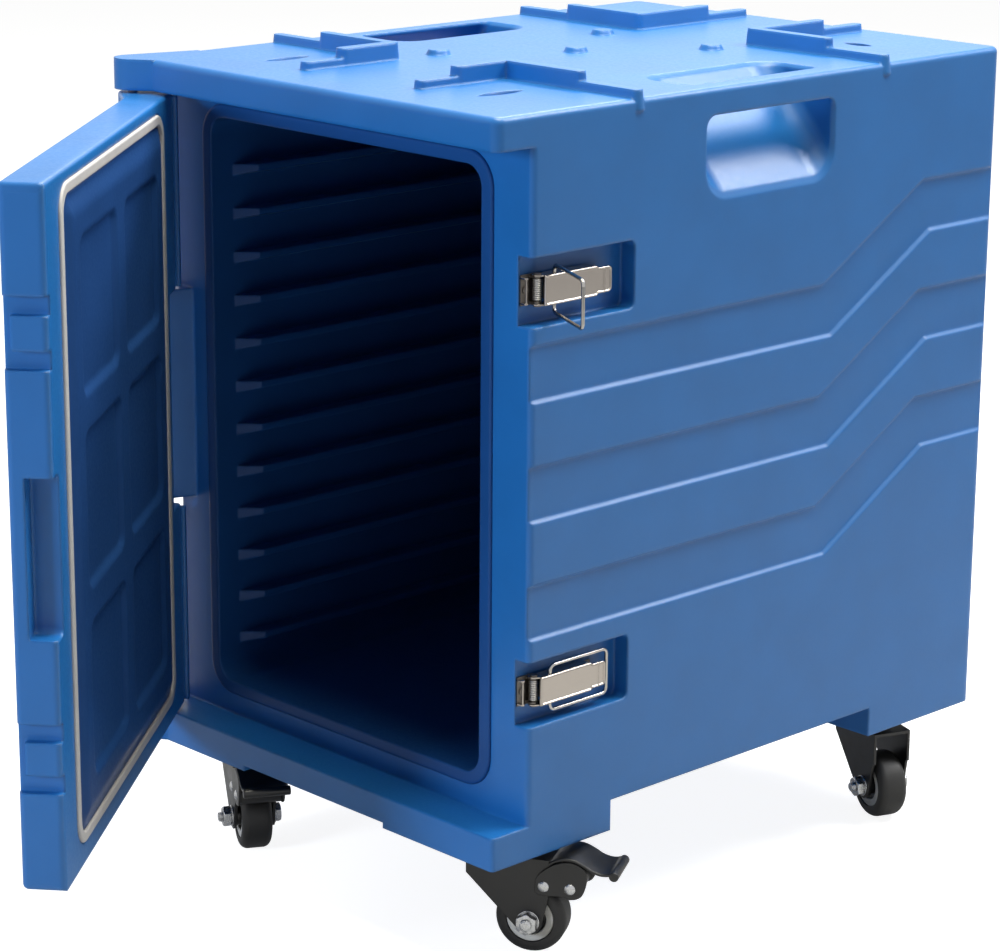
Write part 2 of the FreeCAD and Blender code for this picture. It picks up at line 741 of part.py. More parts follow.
def swung(shape):
    """Turns a piece of the shut door to where the door stands open."""
    shape.rotate(vec(HINGE_X, HINGE_Y, 0), UP, -DOOR_OPEN_DEG)
    return shape


KNUCKLE_SPANS = (
    (DOOR_LOW, MID_KNUCKLE_LOW - NOTCH_GAP),
    (MID_KNUCKLE_HIGH + NOTCH_GAP, DOOR_HIGH),
)


def door_knuckle(low, high):
    """A door knuckle round the rod, faired into the door's outer face and hinge edge."""
    back = KNUCKLE_BACK
    face = lobe(
        (HINGE_X, HINGE_Y), KNUCKLE_R,
        (HINGE_X + KNUCKLE_RUN, HINGE_Y), (DOOR_HINGE_SIDE, HINGE_Y + back),
        [(HINGE_X + KNUCKLE_RUN, HINGE_Y + back)],
        lambda x, y: vec(x, y, low),
    )
    return face.extrude(vec(0, 0, high - low))


def strike(height):
    """The recess on the free edge that leaves a block for a latch bail to hook over."""
    inner = DOOR_LATCH_SIDE - STRIKE_DEEP
    recess = box(
        inner, DOOR_LATCH_SIDE + 1, HINGE_Y - 1, DOOR_INNER_Y + 1,
        height - POCKET_HALF, height + POCKET_HALF,
    )
    block = box(
        inner - 1, DOOR_LATCH_SIDE + 2, HINGE_Y + STRIKE_STEP, DOOR_INNER_Y + 2,
        height - STRIKE_HALF, height + STRIKE_HALF,
    )
    return recess.cut(block)


def finger_pull():
    """The finger recess in the free edge, open towards the inner face."""
    block = box(
        DOOR_LATCH_SIDE - PULL_DEEP, DOOR_LATCH_SIDE + 1, HINGE_Y + PULL_START, DOOR_INNER_Y + 1,
        PULL_LOW, PULL_HIGH,
    )
    ends = edges_at(block, lambda m, run: abs(run.y) > 0.99 and m.x < DOOR_LATCH_SIDE)
    return block.makeFillet(PULL_R, ends)


LEDGE_Y = DOOR_INNER_Y - SEAL_SINK - PANEL_FLANGE


def door_hollow(gap=0.0):
    step = DOOR_LEDGE + gap
    return upright_block(
        SEAL_HALF - step, SEAL_LOW + step, SEAL_HIGH - step, SEAL_R - DOOR_LEDGE,
        HINGE_Y + DOOR_SKIN, LEDGE_Y,
    )


def door_shell():
    slab = box(DOOR_HINGE_SIDE, DOOR_LATCH_SIDE, HINGE_Y, DOOR_INNER_Y, DOOR_LOW, DOOR_HIGH)
    rounded = edges_at(
        slab,
        lambda m, run: near(m.x, DOOR_LATCH_SIDE)
        or (abs(run.z) > 0.99 and near(m.y, DOOR_INNER_Y))
        or (abs(run.x) > 0.99 and near(m.y, HINGE_Y)),
    )
    slab = slab.makeFillet(DOOR_EDGE_R, rounded)
    slab = join([slab] + [door_knuckle(low, high) for low, high in KNUCKLE_SPANS])
    removed = [
        box(
            HINGE_X - EAR_R, HINGE_X + NOTCH_REACH, HINGE_Y - EAR_R, DOOR_INNER_Y + 1,
            MID_KNUCKLE_LOW - NOTCH_GAP, MID_KNUCKLE_HIGH + NOTCH_GAP,
        ),
        rod(BUSH_R + RUN_FIT, vec(HINGE_X, HINGE_Y, DOOR_LOW - 1), vec(HINGE_X, HINGE_Y, DOOR_HIGH + 1)),
        upright_block(SEAL_HALF, SEAL_LOW, SEAL_HIGH, SEAL_R, LEDGE_Y, DOOR_INNER_Y + 1),
        door_hollow(),
        finger_pull(),
    ]
    removed += [strike(z) for z in LATCH_HEIGHTS.values()]
    return swung(slab.cut(removed))


PLUG_HALF = SEAL_HALF - SEAL_WIDE - 2 * SEAL_FIT
PLUG_LOW = SEAL_LOW + SEAL_WIDE + 2 * SEAL_FIT
PLUG_HIGH = SEAL_HIGH - SEAL_WIDE - 2 * SEAL_FIT
PLUG_R = SEAL_R - SEAL_WIDE


def panel_recesses(face_y):
    """Shallow tapered recesses in rows and columns on the raised panel."""
    wide = 2 * (PLUG_HALF - PANEL_BEVEL)
    tall = PLUG_HIGH - PLUG_LOW - 2 * PANEL_BEVEL
    cell_x = (wide - (PANEL_COLUMNS + 1) * PANEL_RIB) / PANEL_COLUMNS
    cell_z = (tall - (PANEL_ROWS + 1) * PANEL_RIB) / PANEL_ROWS
    for column in range(PANEL_COLUMNS):
        x = -wide / 2 + PANEL_RIB + cell_x / 2 + column * (cell_x + PANEL_RIB)
        for row in range(PANEL_ROWS):
            low = PLUG_LOW + PANEL_BEVEL + PANEL_RIB + row * (cell_z + PANEL_RIB)
            high = low + cell_z
            mouth = upright_rect(cell_x / 2, low, high, PANEL_RIB / 2, face_y, x)
            sink = PANEL_SINK
            floor = upright_rect(
                cell_x / 2 - sink, low + sink, high - sink, PANEL_RIB / 2 - sink, face_y - sink, x,
            )
            yield Part.makeLoft([mouth, floor], True, True)


def door_panel():
    """The inner face: a flange under the seal and a raised, bevelled panel inside it."""
    seat_y = DOOR_INNER_Y - SEAL_SINK
    face_y = DOOR_INNER_Y + PANEL_PROUD
    flange = upright_block(
        SEAL_HALF - SEAL_FIT, SEAL_LOW + SEAL_FIT, SEAL_HIGH - SEAL_FIT, SEAL_R - SEAL_FIT, LEDGE_Y, seat_y,
    )
    step = upright_block(PLUG_HALF, PLUG_LOW, PLUG_HIGH, PLUG_R, LEDGE_Y, DOOR_INNER_Y)
    bevel = Part.makeLoft([
        upright_rect(PLUG_HALF, PLUG_LOW, PLUG_HIGH, PLUG_R, DOOR_INNER_Y),
        upright_rect(
            PLUG_HALF - PANEL_BEVEL, PLUG_LOW + PANEL_BEVEL, PLUG_HIGH - PANEL_BEVEL,
            PLUG_R - PANEL_BEVEL / 2, face_y,
        ),
    ], True, True)
    panel = join([flange, step, bevel])
    return swung(panel.cut(list(panel_recesses(face_y))))


def door_seal():
    """The sealing strip: a ring in the channel round the panel, standing a little proud."""
    low_y = DOOR_INNER_Y - SEAL_SINK
    high_y = DOOR_INNER_Y + SEAL_PROUD
    fit = SEAL_FIT
    outer = upright_block(SEAL_HALF - fit, SEAL_LOW + fit, SEAL_HIGH - fit, SEAL_R - fit, low_y, high_y)
    wide = SEAL_WIDE + fit
    inner = upright_block(
        SEAL_HALF - wide, SEAL_LOW + wide, SEAL_HIGH - wide, SEAL_R - wide, low_y - 1, high_y + 1,
    )
    ring = outer.cut(inner)
    face = [e for e in ring.Edges if near(e.BoundBox.YMin, high_y)]
    return swung(ring.makeFillet(SEAL_ROUND, face))


def door_foam():
    return swung(door_hollow(FOAM_FIT))


def hinge_bushes():
    bushes = []
    for low, high in KNUCKLE_SPANS:
        for start in (low, high - BUSH_LONG):
            foot = vec(HINGE_X, HINGE_Y, start)
            top = vec(HINGE_X, HINGE_Y, start + BUSH_LONG)
            bushes.append(rod(BUSH_R, foot, top).cut(rod(ROD_R + RUN_FIT, foot, top)))
    return swung(Part.makeCompound(bushes))


# Latches, each drawn about its own height

FLOOR_X = HALF - POCKET_DEEP
PIVOT_X = FLOOR_X + PIVOT_LIFT
BAIL_X = FLOOR_X + BAIL_LIFT
FACE_X = FLOOR_X + LEVER_FACE_LIFT


def pivot_line(radius, x, y, z):
    """A round bar along one of the latch's pivots, as long as the pivot pin."""
    return rod(radius, vec(x, y, z - PIVOT_HALF), vec(x, y, z + PIVOT_HALF))


def latch_base(z):
    """The fixing plate with a window and a turned-up front edge, and two ears for the pivot pin."""
    top_x = FLOOR_X + LATCH_SHEET
    plate = box(FLOOR_X, top_x, BASE_FRONT, BASE_BACK, z - BASE_HALF, z + BASE_HALF)
    front = BASE_FRONT - LATCH_SHEET
    lip = box(FLOOR_X, FLOOR_X + PIVOT_LIFT, front, BASE_FRONT, z - LEVER_HALF, z + LEVER_HALF)
    foot = box(FLOOR_X, top_x, front, PIVOT_Y + LEVER_EYE_R, z - LEVER_HALF, z + LEVER_HALF)
    pieces = [plate, lip, foot]
    outside = LEVER_HALF - LEVER_SHEET - BASE_EAR_GAP
    for side in SIDES:
        low = z + side * outside - (BASE_EAR if side > 0 else 0)
        ear = rod(BASE_EAR_R, vec(PIVOT_X, PIVOT_Y, low), vec(PIVOT_X, PIVOT_Y, low + BASE_EAR))
        stem = box(FLOOR_X, PIVOT_X, PIVOT_Y - BASE_EAR_R, PIVOT_Y + BASE_EAR_R, low, low + BASE_EAR)
        pieces += [ear, stem]
    base = join(pieces)
    holes = [pivot_line(PIVOT_R + RUN_FIT, PIVOT_X, PIVOT_Y, z)]
    for y in RIVET_PLACES:
        holes.append(rod(RIVET_R + RUN_FIT, vec(FLOOR_X - 1, y, z), vec(top_x + 1, y, z)))
    return base.cut(holes)


def latch_pin(z):
    """The lever's pivot pin, with a head at each end."""
    heads = []
    for side in SIDES:
        end = vec(PIVOT_X, PIVOT_Y, z + side * PIVOT_HALF)
        start = vec(PIVOT_X, PIVOT_Y, z + side * (PIVOT_HALF - PIVOT_HEAD))
        heads.append(rod(PIVOT_HEAD_R, start, end))
    return join([pivot_line(PIVOT_R, PIVOT_X, PIVOT_Y, z)] + heads)


def wire_section(start, along, radius, sides):
    """A wire's cross-section as a regular outline, square to its direction."""
    side = along.cross(vec(1, 0, 0)).normalize()
    over = side.cross(along)
    count = round(sides)
    points = []
    for n in range(count):
        a = 2 * math.pi * n / count
        points.append(start.add(side * (radius * math.cos(a))).add(over * (radius * math.sin(a))))
    return Part.makePolygon(points + points[:1])


def arc_pair(p0, t0, p1, t1):
    """Two arcs, tangent to each other and to the given directions, between two points of a helix."""
    v = p1.sub(p0)
    both = t0.add(t1)
    a = both.dot(both) - 4
    b = -2 * v.dot(both)
    reach = (-b - math.sqrt(b * b - 4 * a * v.dot(v))) / (2 * a)
    c0 = p0.add(t0 * reach)
    c1 = p1.sub(t1 * reach)
    meet = c0.add(c1) * 0.5
    arcs = []
    for start, apex, end in ((p0, c0, meet), (meet, c1, p1)):
        chord = start.add(end) * 0.5
        rise = apex.sub(chord)
        turn = math.asin(rise.Length / reach)
        sag = reach * math.cos(turn) * math.tan(turn / 2)
        arcs.append(Part.Arc(start, chord.add(rise.normalize() * sag), end).toShape())
    return arcs


def coil_point(t):
    """Point and direction on the spring's helix after t turns."""
    a = 2 * math.pi * t
    point = vec(COIL_R * math.cos(a), COIL_R * math.sin(a), COIL_PITCH * (t - COIL_TURNS / 2))
    along = vec(-COIL_R * math.sin(a), COIL_R * math.cos(a), COIL_PITCH / (2 * math.pi))
    return point, along.normalize()


def latch_spring(z):
    """The lever's return spring: one unbroken tube wound round the pivot pin."""
    arcs = []
    for n in range(round(2 * COIL_TURNS)):
        p0, t0 = coil_point(n / 2)
        p1, t1 = coil_point((n + 1) / 2)
        arcs += arc_pair(p0, t0, p1, t1)
    path = Part.Wire(arcs)
    start, along = coil_point(0)
    coil = path.makePipeShell([wire_section(start, along, COIL_WIRE_R, WIRE_SIDES["coil"])], True, False)
    coil.translate(vec(PIVOT_X, PIVOT_Y, z))
    return coil


def coil_gap():
    """Least clear gap between one turn of the spring and the rest, on points along the helix."""
    steps = 24
    points = [coil_point(n / steps)[0] for n in range(round(COIL_TURNS * steps) + 1)]
    least = min(
        points[i].sub(points[j]).Length
        for i in range(len(points))
        for j in range(i + steps // 2, len(points))
    )
    return least - 2 * COIL_WIRE_R


def latch_lever(z):
    """The pressed lever: a face plate, two flanges with eyes at the pivot, and a rolled tip."""
    outer_x = FACE_X + LEVER_SHEET
    edge = (
        (LEVER_FACE_START, LEVER_HALF), (LEVER_SHOULDER, LEVER_HALF),
        (LEVER_SHOULDER + LEVER_SHOULDER_RUN, LEVER_TIP_HALF), (LEVER_TIP, LEVER_TIP_HALF),
    )
    face = [vec(FACE_X, y, z - half) for y, half in edge]
    face += [vec(FACE_X, y, z + half) for y, half in reversed(edge)]
    pieces = [prism(face, vec(LEVER_SHEET, 0, 0))]
    curl_x = outer_x - LEVER_CURL_R
    curl = vec(curl_x, LEVER_TIP, z - LEVER_TIP_HALF)
    pieces.append(rod(LEVER_CURL_R, curl, vec(curl_x, LEVER_TIP, z + LEVER_TIP_HALF)))
    flange_x = FLOOR_X + LEVER_FLANGE_LIFT
    for side in SIDES:
        low = z + side * LEVER_HALF - (LEVER_SHEET if side > 0 else 0)
        flange = (
            (flange_x, PIVOT_Y), (flange_x, LEVER_SHOULDER), (outer_x, LEVER_SHOULDER),
            (outer_x, LEVER_FACE_START), (PIVOT_X + LEVER_EYE_R - LEVER_SHEET, PIVOT_Y),
        )
        pieces.append(prism([vec(x, y, low) for x, y in flange], vec(0, 0, LEVER_SHEET)))
        pieces.append(rod(LEVER_EYE_R, vec(PIVOT_X, PIVOT_Y, low), vec(PIVOT_X, PIVOT_Y, low + LEVER_SHEET)))
    lever = join(pieces)
    return lever.cut([
        pivot_line(PIVOT_R + RUN_FIT, PIVOT_X, PIVOT_Y, z),
        pivot_line(BAIL_WIRE_R + RUN_FIT, BAIL_X, BAIL_PIVOT_Y, z),
    ])


def latch_bail(z, swung_deg):
    """The wire loop that hooks over the strike, bent at four corners, with its ends in the lever."""
    y0, y1 = BAIL_PIVOT_Y, BAIL_PIVOT_Y + BAIL_LONG
    r, h = BAIL_BEND_R, BAIL_HALF
    k = r * (1 - math.sqrt(0.5))

    def at(y, dz):
        return vec(BAIL_X, y, z + dz)

    edges = []
    last = at(y0, BAIL_STUB)
    bends = (
        ((y0, h - r), (y0 + k, h - k), (y0 + r, h)), ((y1 - r, h), (y1 - k, h - k), (y1, h - r)),
        ((y1, r - h), (y1 - k, k - h), (y1 - r, -h)), ((y0 + r, -h), (y0 + k, k - h), (y0, r - h)),
    )
    for bend in bends:
        start, middle, end = (at(*p) for p in bend)
        edges.append(Part.makeLine(last, start))
        edges.append(Part.Arc(start, middle, end).toShape())
        last = end
    edges.append(Part.makeLine(last, at(y0, -BAIL_STUB)))
    section = wire_section(at(y0, BAIL_STUB), UP, BAIL_WIRE_R, WIRE_SIDES["bail"])
    bail = Part.Wire(edges).makePipe(Part.Face(section))
    bail.rotate(vec(BAIL_X, BAIL_PIVOT_Y, z), UP, -swung_deg)
    return bail


def latch_rivets():
    rivets = []
    for z in LATCH_HEIGHTS.values():
        for y in RIVET_PLACES:
            head_x = FLOOR_X + LATCH_SHEET
            shank = rod(RIVET_R, vec(FLOOR_X - RIVET_LONG, y, z), vec(head_x, y, z))
            head = rod(RIVET_HEAD_R, vec(head_x, y, z), vec(head_x + RIVET_HEAD, y, z))
            rivets.append(shank.fuse(head).removeSplitter())
    return Part.makeCompound(rivets)


# Casters, drawn with the swivel axis on z, the wheel trailing along +X

WHEEL_AT = (TRAIL, WHEEL_R)
FORK_OUTER = FORK_INNER + FORK_SHEET


def caster_plate():
    """The fixing plate with four bolt holes and the fixed ring of the swivel under it."""
    low = FOOT_Z - PLATE_THICK
    plate = box(-PLATE_LONG / 2, PLATE_LONG / 2, -PLATE_WIDE / 2, PLATE_WIDE / 2, low, FOOT_Z)
    plate = plate.makeFillet(PLATE_R, edges_at(plate, lambda m, run: abs(run.z) > 0.99))
    race = rod(RACE_R, vec(0, 0, RACE_Z), vec(0, 0, low))
    holes = [rod(KING_R + RUN_FIT, vec(0, 0, RACE_Z - 1), vec(0, 0, FOOT_Z + 1))]
    for sx in SIDES:
        for sy in SIDES:
            x, y = sx * BOLT_LONG_X, sy * BOLT_WIDE_Y
            holes.append(rod(BOLT_R + BOLT_FIT, vec(x, y, low - 1), vec(x, y, FOOT_Z + 1)))
    return plate.fuse(race).removeSplitter().cut(holes)


def caster_kingpin():
    roof_low = FORK_TOP_Z - FORK_ROOF
    head_top = roof_low - KING_FIT
    shank = rod(KING_R, vec(0, 0, head_top), vec(0, 0, FOOT_Z - KING_FIT))
    head = rod(KING_HEAD_R, vec(0, 0, head_top - KING_HEAD), vec(0, 0, head_top))
    return join([shank, head])


def caster_fork(braked):
    """The fork: a crown, a roof and two tapering legs with eyes for the axle."""
    legs = []
    for side in SIDES:
        y = FORK_INNER if side > 0 else -FORK_OUTER
        face = lobe(
            WHEEL_AT, FORK_EYE_R, FORK_HIP, FORK_KNEE,
            [(FORK_BACK, FORK_TOP_Z), (FORK_FRONT, FORK_TOP_Z), (FORK_FRONT, FORK_HIP[1])],
            lambda x, z, y=y: vec(x, y, z),
        )
        legs.append(face.extrude(vec(0, FORK_SHEET, 0)))
    roof = box(FORK_BACK, FORK_FRONT, -FORK_OUTER, FORK_OUTER, FORK_TOP_Z - FORK_ROOF, FORK_TOP_Z)
    crown = rod(CROWN_R, vec(0, 0, FORK_TOP_Z), vec(0, 0, CROWN_Z))
    fork = join(legs + [roof, crown])
    wide = FORK_OUTER + 1
    holes = [
        rod(KING_R + RUN_FIT, vec(0, 0, 0), vec(0, 0, FOOT_Z)),
        rod(AXLE_R + RUN_FIT, vec(TRAIL, -wide, WHEEL_R), vec(TRAIL, wide, WHEEL_R)),
    ]
    if braked:
        holes.append(rod(
            PEDAL_PIN_R + RUN_FIT, vec(PEDAL_PIN_X, -wide, PEDAL_PIN_Z), vec(PEDAL_PIN_X, wide, PEDAL_PIN_Z),
        ))
    return fork.cut(holes)


def caster_axle():
    """The axle bolt through the fork with its head on one side and its nut on the other."""
    tail = -FORK_OUTER - AXLE_NUT - AXLE_TAIL
    shank = rod(AXLE_R, vec(TRAIL, tail, WHEEL_R), vec(TRAIL, FORK_OUTER, WHEEL_R))
    head = hexagon(AXLE_HEAD_FLAT, vec(TRAIL, FORK_OUTER, WHEEL_R), ALONG_Y, AXLE_HEAD)
    nut = hexagon(AXLE_NUT_FLAT, vec(TRAIL, -FORK_OUTER, WHEEL_R), ALONG_Y * -1, AXLE_NUT)
    return join([shank, head, nut])


def turned(outline):
    """A solid of revolution about the axle from (radius, y) points on one side of the wheel's middle.

    The other side is the mirror image.
    """
    points = list(outline) + [(r, -y) for r, y in reversed(outline)]
    places = [vec(TRAIL + r, y, WHEEL_R) for r, y in points]
    face = Part.Face(Part.makePolygon(places + places[:1]))
    return face.revolve(vec(TRAIL, 0, WHEEL_R), ALONG_Y, 360)


def caster_tyre():
    """A tyre with a flat tread and bevelled shoulders."""
    shoulder = TREAD_HALF - TREAD_FLAT_HALF
    turn = math.radians(45)
    knee = shoulder * (1 - math.cos(turn))
    return turned([
        (TYRE_INNER_R, TREAD_HALF), (WHEEL_R - shoulder, TREAD_HALF),
        (WHEEL_R - knee, TREAD_HALF - knee), (WHEEL_R, TREAD_FLAT_HALF),
    ])


def caster_core():
    return turned([(CORE_BORE_R, CORE_HALF), (CORE_R, CORE_HALF)])


def caster_hub():
    """The bearing hub: a web inside the core and a boss that runs on the axle."""
    return turned([
        (AXLE_R + RUN_FIT, HUB_BOSS_HALF), (HUB_BOSS_R, HUB_BOSS_HALF),
        (HUB_BOSS_R, HUB_HALF), (HUB_R, HUB_HALF),
    ])


CHEEK_INNER = FORK_OUTER + PEDAL_GAP
CHEEK_OUTER = CHEEK_INNER + PEDAL_SHEET
CHEEK_OUTLINE = (
    (36.0, 57.0), (36.0, 70.0), (44.0, 77.0), (62.0, 82.0), (76.0, 80.5), (86.0, 73.0),
    (81.0, 61.0), (72.0, 54.0), (61.0, 54.0), (52.0, 56.5),
)
TREAD_OUTLINE = (
    (52.0, 79.5), (62.0, 82.0), (76.0, 80.5), (86.0, 73.0), (92.0, 68.0), (99.0, 66.5), (105.0, 69.5),
)


def brake_pedal():
    """The brake pedal: two cheeks outside the fork, a bent tread plate between them and a brake shoe."""
    pieces = []
    for side in SIDES:
        y = CHEEK_INNER if side > 0 else -CHEEK_OUTER
        pieces.append(prism([vec(x, y, z) for x, z in CHEEK_OUTLINE], vec(0, PEDAL_SHEET, 0)))
    upper = [(x, z + PEDAL_ROOF) for x, z in reversed(TREAD_OUTLINE)]
    tread = [vec(x, -CHEEK_OUTER, z) for x, z in list(TREAD_OUTLINE) + upper]
    pieces.append(prism(tread, vec(0, 2 * CHEEK_OUTER, 0)))
    pieces.append(rod(
        SHOE_R, vec(PEDAL_RIVET_X, -CHEEK_OUTER, PEDAL_PIN_Z), vec(PEDAL_RIVET_X, CHEEK_OUTER, PEDAL_PIN_Z),
    ))
    pedal = join(pieces)
    wide = CHEEK_OUTER + 1
    return pedal.cut([
        rod(PEDAL_PIN_R + RUN_FIT, vec(x, -wide, PEDAL_PIN_Z), vec(x, wide, PEDAL_PIN_Z))
        for x in (PEDAL_PIN_X, PEDAL_RIVET_X)
    ])


def pedal_pin(x):
    """A pin across the pedal with a flat head on each cheek."""
    shank = rod(PEDAL_PIN_R, vec(x, -CHEEK_OUTER, PEDAL_PIN_Z), vec(x, CHEEK_OUTER, PEDAL_PIN_Z))
    heads = [
        rod(
            PEDAL_HEAD_R, vec(x, side * CHEEK_OUTER, PEDAL_PIN_Z),
            vec(x, side * (CHEEK_OUTER + PEDAL_HEAD), PEDAL_PIN_Z),
        )
        for side in SIDES
    ]
    return join([shank] + heads)


def caster_bolts():
    bolts = []
    low = FOOT_Z - PLATE_THICK
    for x, y in bolt_places():
        shank = rod(BOLT_R, vec(x, y, low), vec(x, y, FOOT_Z + BOLT_REACH))
        head = hexagon(BOLT_FLAT, vec(x, y, low), UP * -1, BOLT_HEAD)
        bolts.append(shank.fuse(head).removeSplitter())
    return Part.makeCompound(bolts)


def caster_pieces():
    for name, x, y in caster_places():
        braked = name.startswith("front")
        pieces = {
            "fork": caster_fork(braked), "axle": caster_axle(), "wheel_core": caster_core(),
            "wheel_hub": caster_hub(), "tyre": caster_tyre(),
        }
        if braked:
            pieces["brake_pedal"] = brake_pedal()
            pieces["brake_pivot"] = pedal_pin(PEDAL_PIN_X)
            pieces["brake_rivet"] = pedal_pin(PEDAL_RIVET_X)
        for piece, shape in pieces.items():
            shape.rotate(vec(0, 0, 0), UP, CASTER_TURN_DEG[name])
            shape.translate(vec(x, y, 0))
            yield f"caster_{name}_{piece}", shape


def at_each_caster(shape):
    """One copy of a fixed piece at each caster."""
    return Part.makeCompound([shape.translated(vec(x, y, 0)) for _, x, y in caster_places()])


def all_pieces():
    yield "outer_shell", outer_shell()
    yield "inner_liner", inner_liner()
    yield "foam_core", foam_core()
    yield "hinge_rod", hinge_rod()
    yield "door_shell", door_shell()
    yield "door_panel", door_panel()
    yield "door_seal", door_seal()
    yield "door_foam", door_foam()
    yield "hinge_bushes", hinge_bushes()
    for name, z in LATCH_HEIGHTS.items():
        yield f"latch_{name}_base", latch_base(z)
        yield f"latch_{name}_pin", latch_pin(z)
        yield f"latch_{name}_spring", latch_spring(z)
        yield f"latch_{name}_lever", latch_lever(z)
        yield f"latch_{name}_bail", latch_bail(z, BAIL_SWUNG_DEG[name])
    yield "latch_rivets", latch_rivets()
    yield "caster_plates", at_each_caster(caster_plate())
    yield "caster_kingpins", at_each_caster(caster_kingpin())
    yield "caster_bolts", caster_bolts()
    yield from caster_pieces()


os.makedirs("parts", exist_ok=True)
for node, shape in all_pieces():
    shape.translate(FRAME_SHIFT)
    shape.exportStep(f"parts/{node}.step")
    state = "ok" if shape.isValid() else "NOT VALID"
    print(f"{node}: {len(shape.Solids)} solid(s), {shape.Volume / 1000:.1f} cm3, {state}")
print(f"least gap between the turns of a latch spring: {coil_gap():.2f} mm")
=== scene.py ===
import json
import math
from types import SimpleNamespace as Sizes

import bpy
import numpy as np
from bpy.props import FloatProperty, FloatVectorProperty, IntProperty, PointerProperty
from mathutils import Matrix


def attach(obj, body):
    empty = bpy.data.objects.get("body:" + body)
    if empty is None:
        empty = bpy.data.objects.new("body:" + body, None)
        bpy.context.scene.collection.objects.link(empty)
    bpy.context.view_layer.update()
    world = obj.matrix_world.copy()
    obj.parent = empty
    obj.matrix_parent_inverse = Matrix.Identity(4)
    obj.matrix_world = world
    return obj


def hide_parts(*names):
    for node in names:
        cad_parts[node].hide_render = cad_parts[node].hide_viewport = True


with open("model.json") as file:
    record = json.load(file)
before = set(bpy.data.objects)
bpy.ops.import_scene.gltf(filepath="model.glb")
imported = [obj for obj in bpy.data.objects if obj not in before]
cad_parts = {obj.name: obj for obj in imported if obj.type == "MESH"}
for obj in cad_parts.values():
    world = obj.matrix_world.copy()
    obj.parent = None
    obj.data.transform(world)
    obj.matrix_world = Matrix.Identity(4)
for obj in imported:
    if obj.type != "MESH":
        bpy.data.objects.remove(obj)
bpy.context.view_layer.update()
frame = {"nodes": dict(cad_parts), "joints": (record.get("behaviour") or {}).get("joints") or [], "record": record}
JOINTS = {joint["name"]: joint for joint in frame["joints"]}

bl_info = {
    "name": "Insulated food transport cart",
    "version": (1, 0, 0),
    "blender": (4, 5, 0),
    "location": "3D View > Sidebar > Cart",
    "description": "Dresses the cart's solids with finishes and fine pieces, and sets its stage",
    "category": "Object",
}

MM = 0.001
TURN = 2 * math.pi
UP = np.array([0.0, 0.0, 1.0])

LATCHES = ("upper", "lower")
CASTERS = ("front_right", "front_left", "rear_right", "rear_left")
BRAKED = CASTERS[:2]

# The door, in millimetres along it from its hinge, out of its inner face and up
SEAL_BAND = 9.9
SEAL_PROUD = 2.0
PANEL = Sizes(rows=207, columns=141, rise=4.5, bevel=20.0, corner=15.6, deep=6.5)
FIELDS = Sizes(columns=2, rows=3, border=36.0, rib=26.0, corner=13.0, sink=4.0, slope=6.0)
LIP = Sizes(start=0.5, wide=6.0, sunk=1.0, proud=4.3, short=2.5, root=0.3, round=1.0)
CROWN = Sizes(rise=3.0, skirt=6.0, gap=0.05, corner=5.0)
KNUCKLE = Sizes(radius=13.0, run=42.0, back=24.85, start=2.0)

# Latches, in millimetres
COIL_RADIUS = 3.6
COIL_LONG = 17.4
COIL_STEPS = 28
BAIL_HALF = 19.5
BAIL_LONG = 66.3
BAIL_BEND = 5.0
BAIL_STUB = 9.3

# Latch levers, in millimetres from the lever's pivot: along it, out of the pocket and to the sides
LEVER = Sizes(
    start=1.0, shoulder=59.0, step=2.0, tip=76.5, half=12.5, tip_half=10.8,
    corner=3.6, face=7.7, sheet=1.2, rim=1.0, crease=8.5, crease_high=0.6, eye=4.6,
    rows=151, columns=81,
)
LEVER_FLANGE = ((3.0, 7.6), (58.5, 7.6), (58.5, 0.0), (56.0, -3.0))

# The latch bases, from the same pivot: floor plate, wider foot, ears at the pivot and a front frame
BASE_PLATE = ((-12.5, -6.5), (71.0, -6.5), (71.0, -5.0), (-12.5, -5.0))
BASE_FOOT = ((-13.7, -6.5), (4.6, -6.5), (4.6, -4.9), (-13.7, -4.9))
BASE_PLATE_HALF = 9.5
BASE_FOOT_HALF = 12.5
BASE_EAR = Sizes(radius=3.6, inner=9.6, outer=11.0)
BASE_FRAME = Sizes(front=-13.7, back=-9.8, top=0.8, round=1.5, bar=0.7)

# Wheels, in millimetres from the axle's middle
TYRE = Sizes(bore=20.8, outside=31.0, half=14.0, bore_round=0.8)
CORE = Sizes(bore=13.9, outside=20.5, half=12.9, round=0.9)
HUB = Sizes(bore=5.05, outside=13.6, face=8.6, nose=16.0, nose_radius=9.0, nose_round=0.6)
HUB_SLOPE = Sizes(wide=1.2, high=0.4)
HUB_BEAD = Sizes(inset=1.7, lift=0.6, radius=0.9)

# Axle bolts, in millimetres
FORK_FACE = 19.0
SHANK_RADIUS = 5.0
WASHER = Sizes(bore=5.2, radius=9.9, thick=1.3, edge=0.3)
NUT = Sizes(flats=17.0, thick=7.7, bore=4.9)
HEAD = Sizes(flats=16.0, thick=5.3, bore=0.5)
HEX_DEPTHS = np.array([0.0, 0.5, 1.0, 1.6])
HEX_CHAMFER = Sizes(start=0.97, slope=1.4)
THREAD = Sizes(pitch=1.5, long=5.0, deep=0.9, point=0.8, into_nut=1.0)

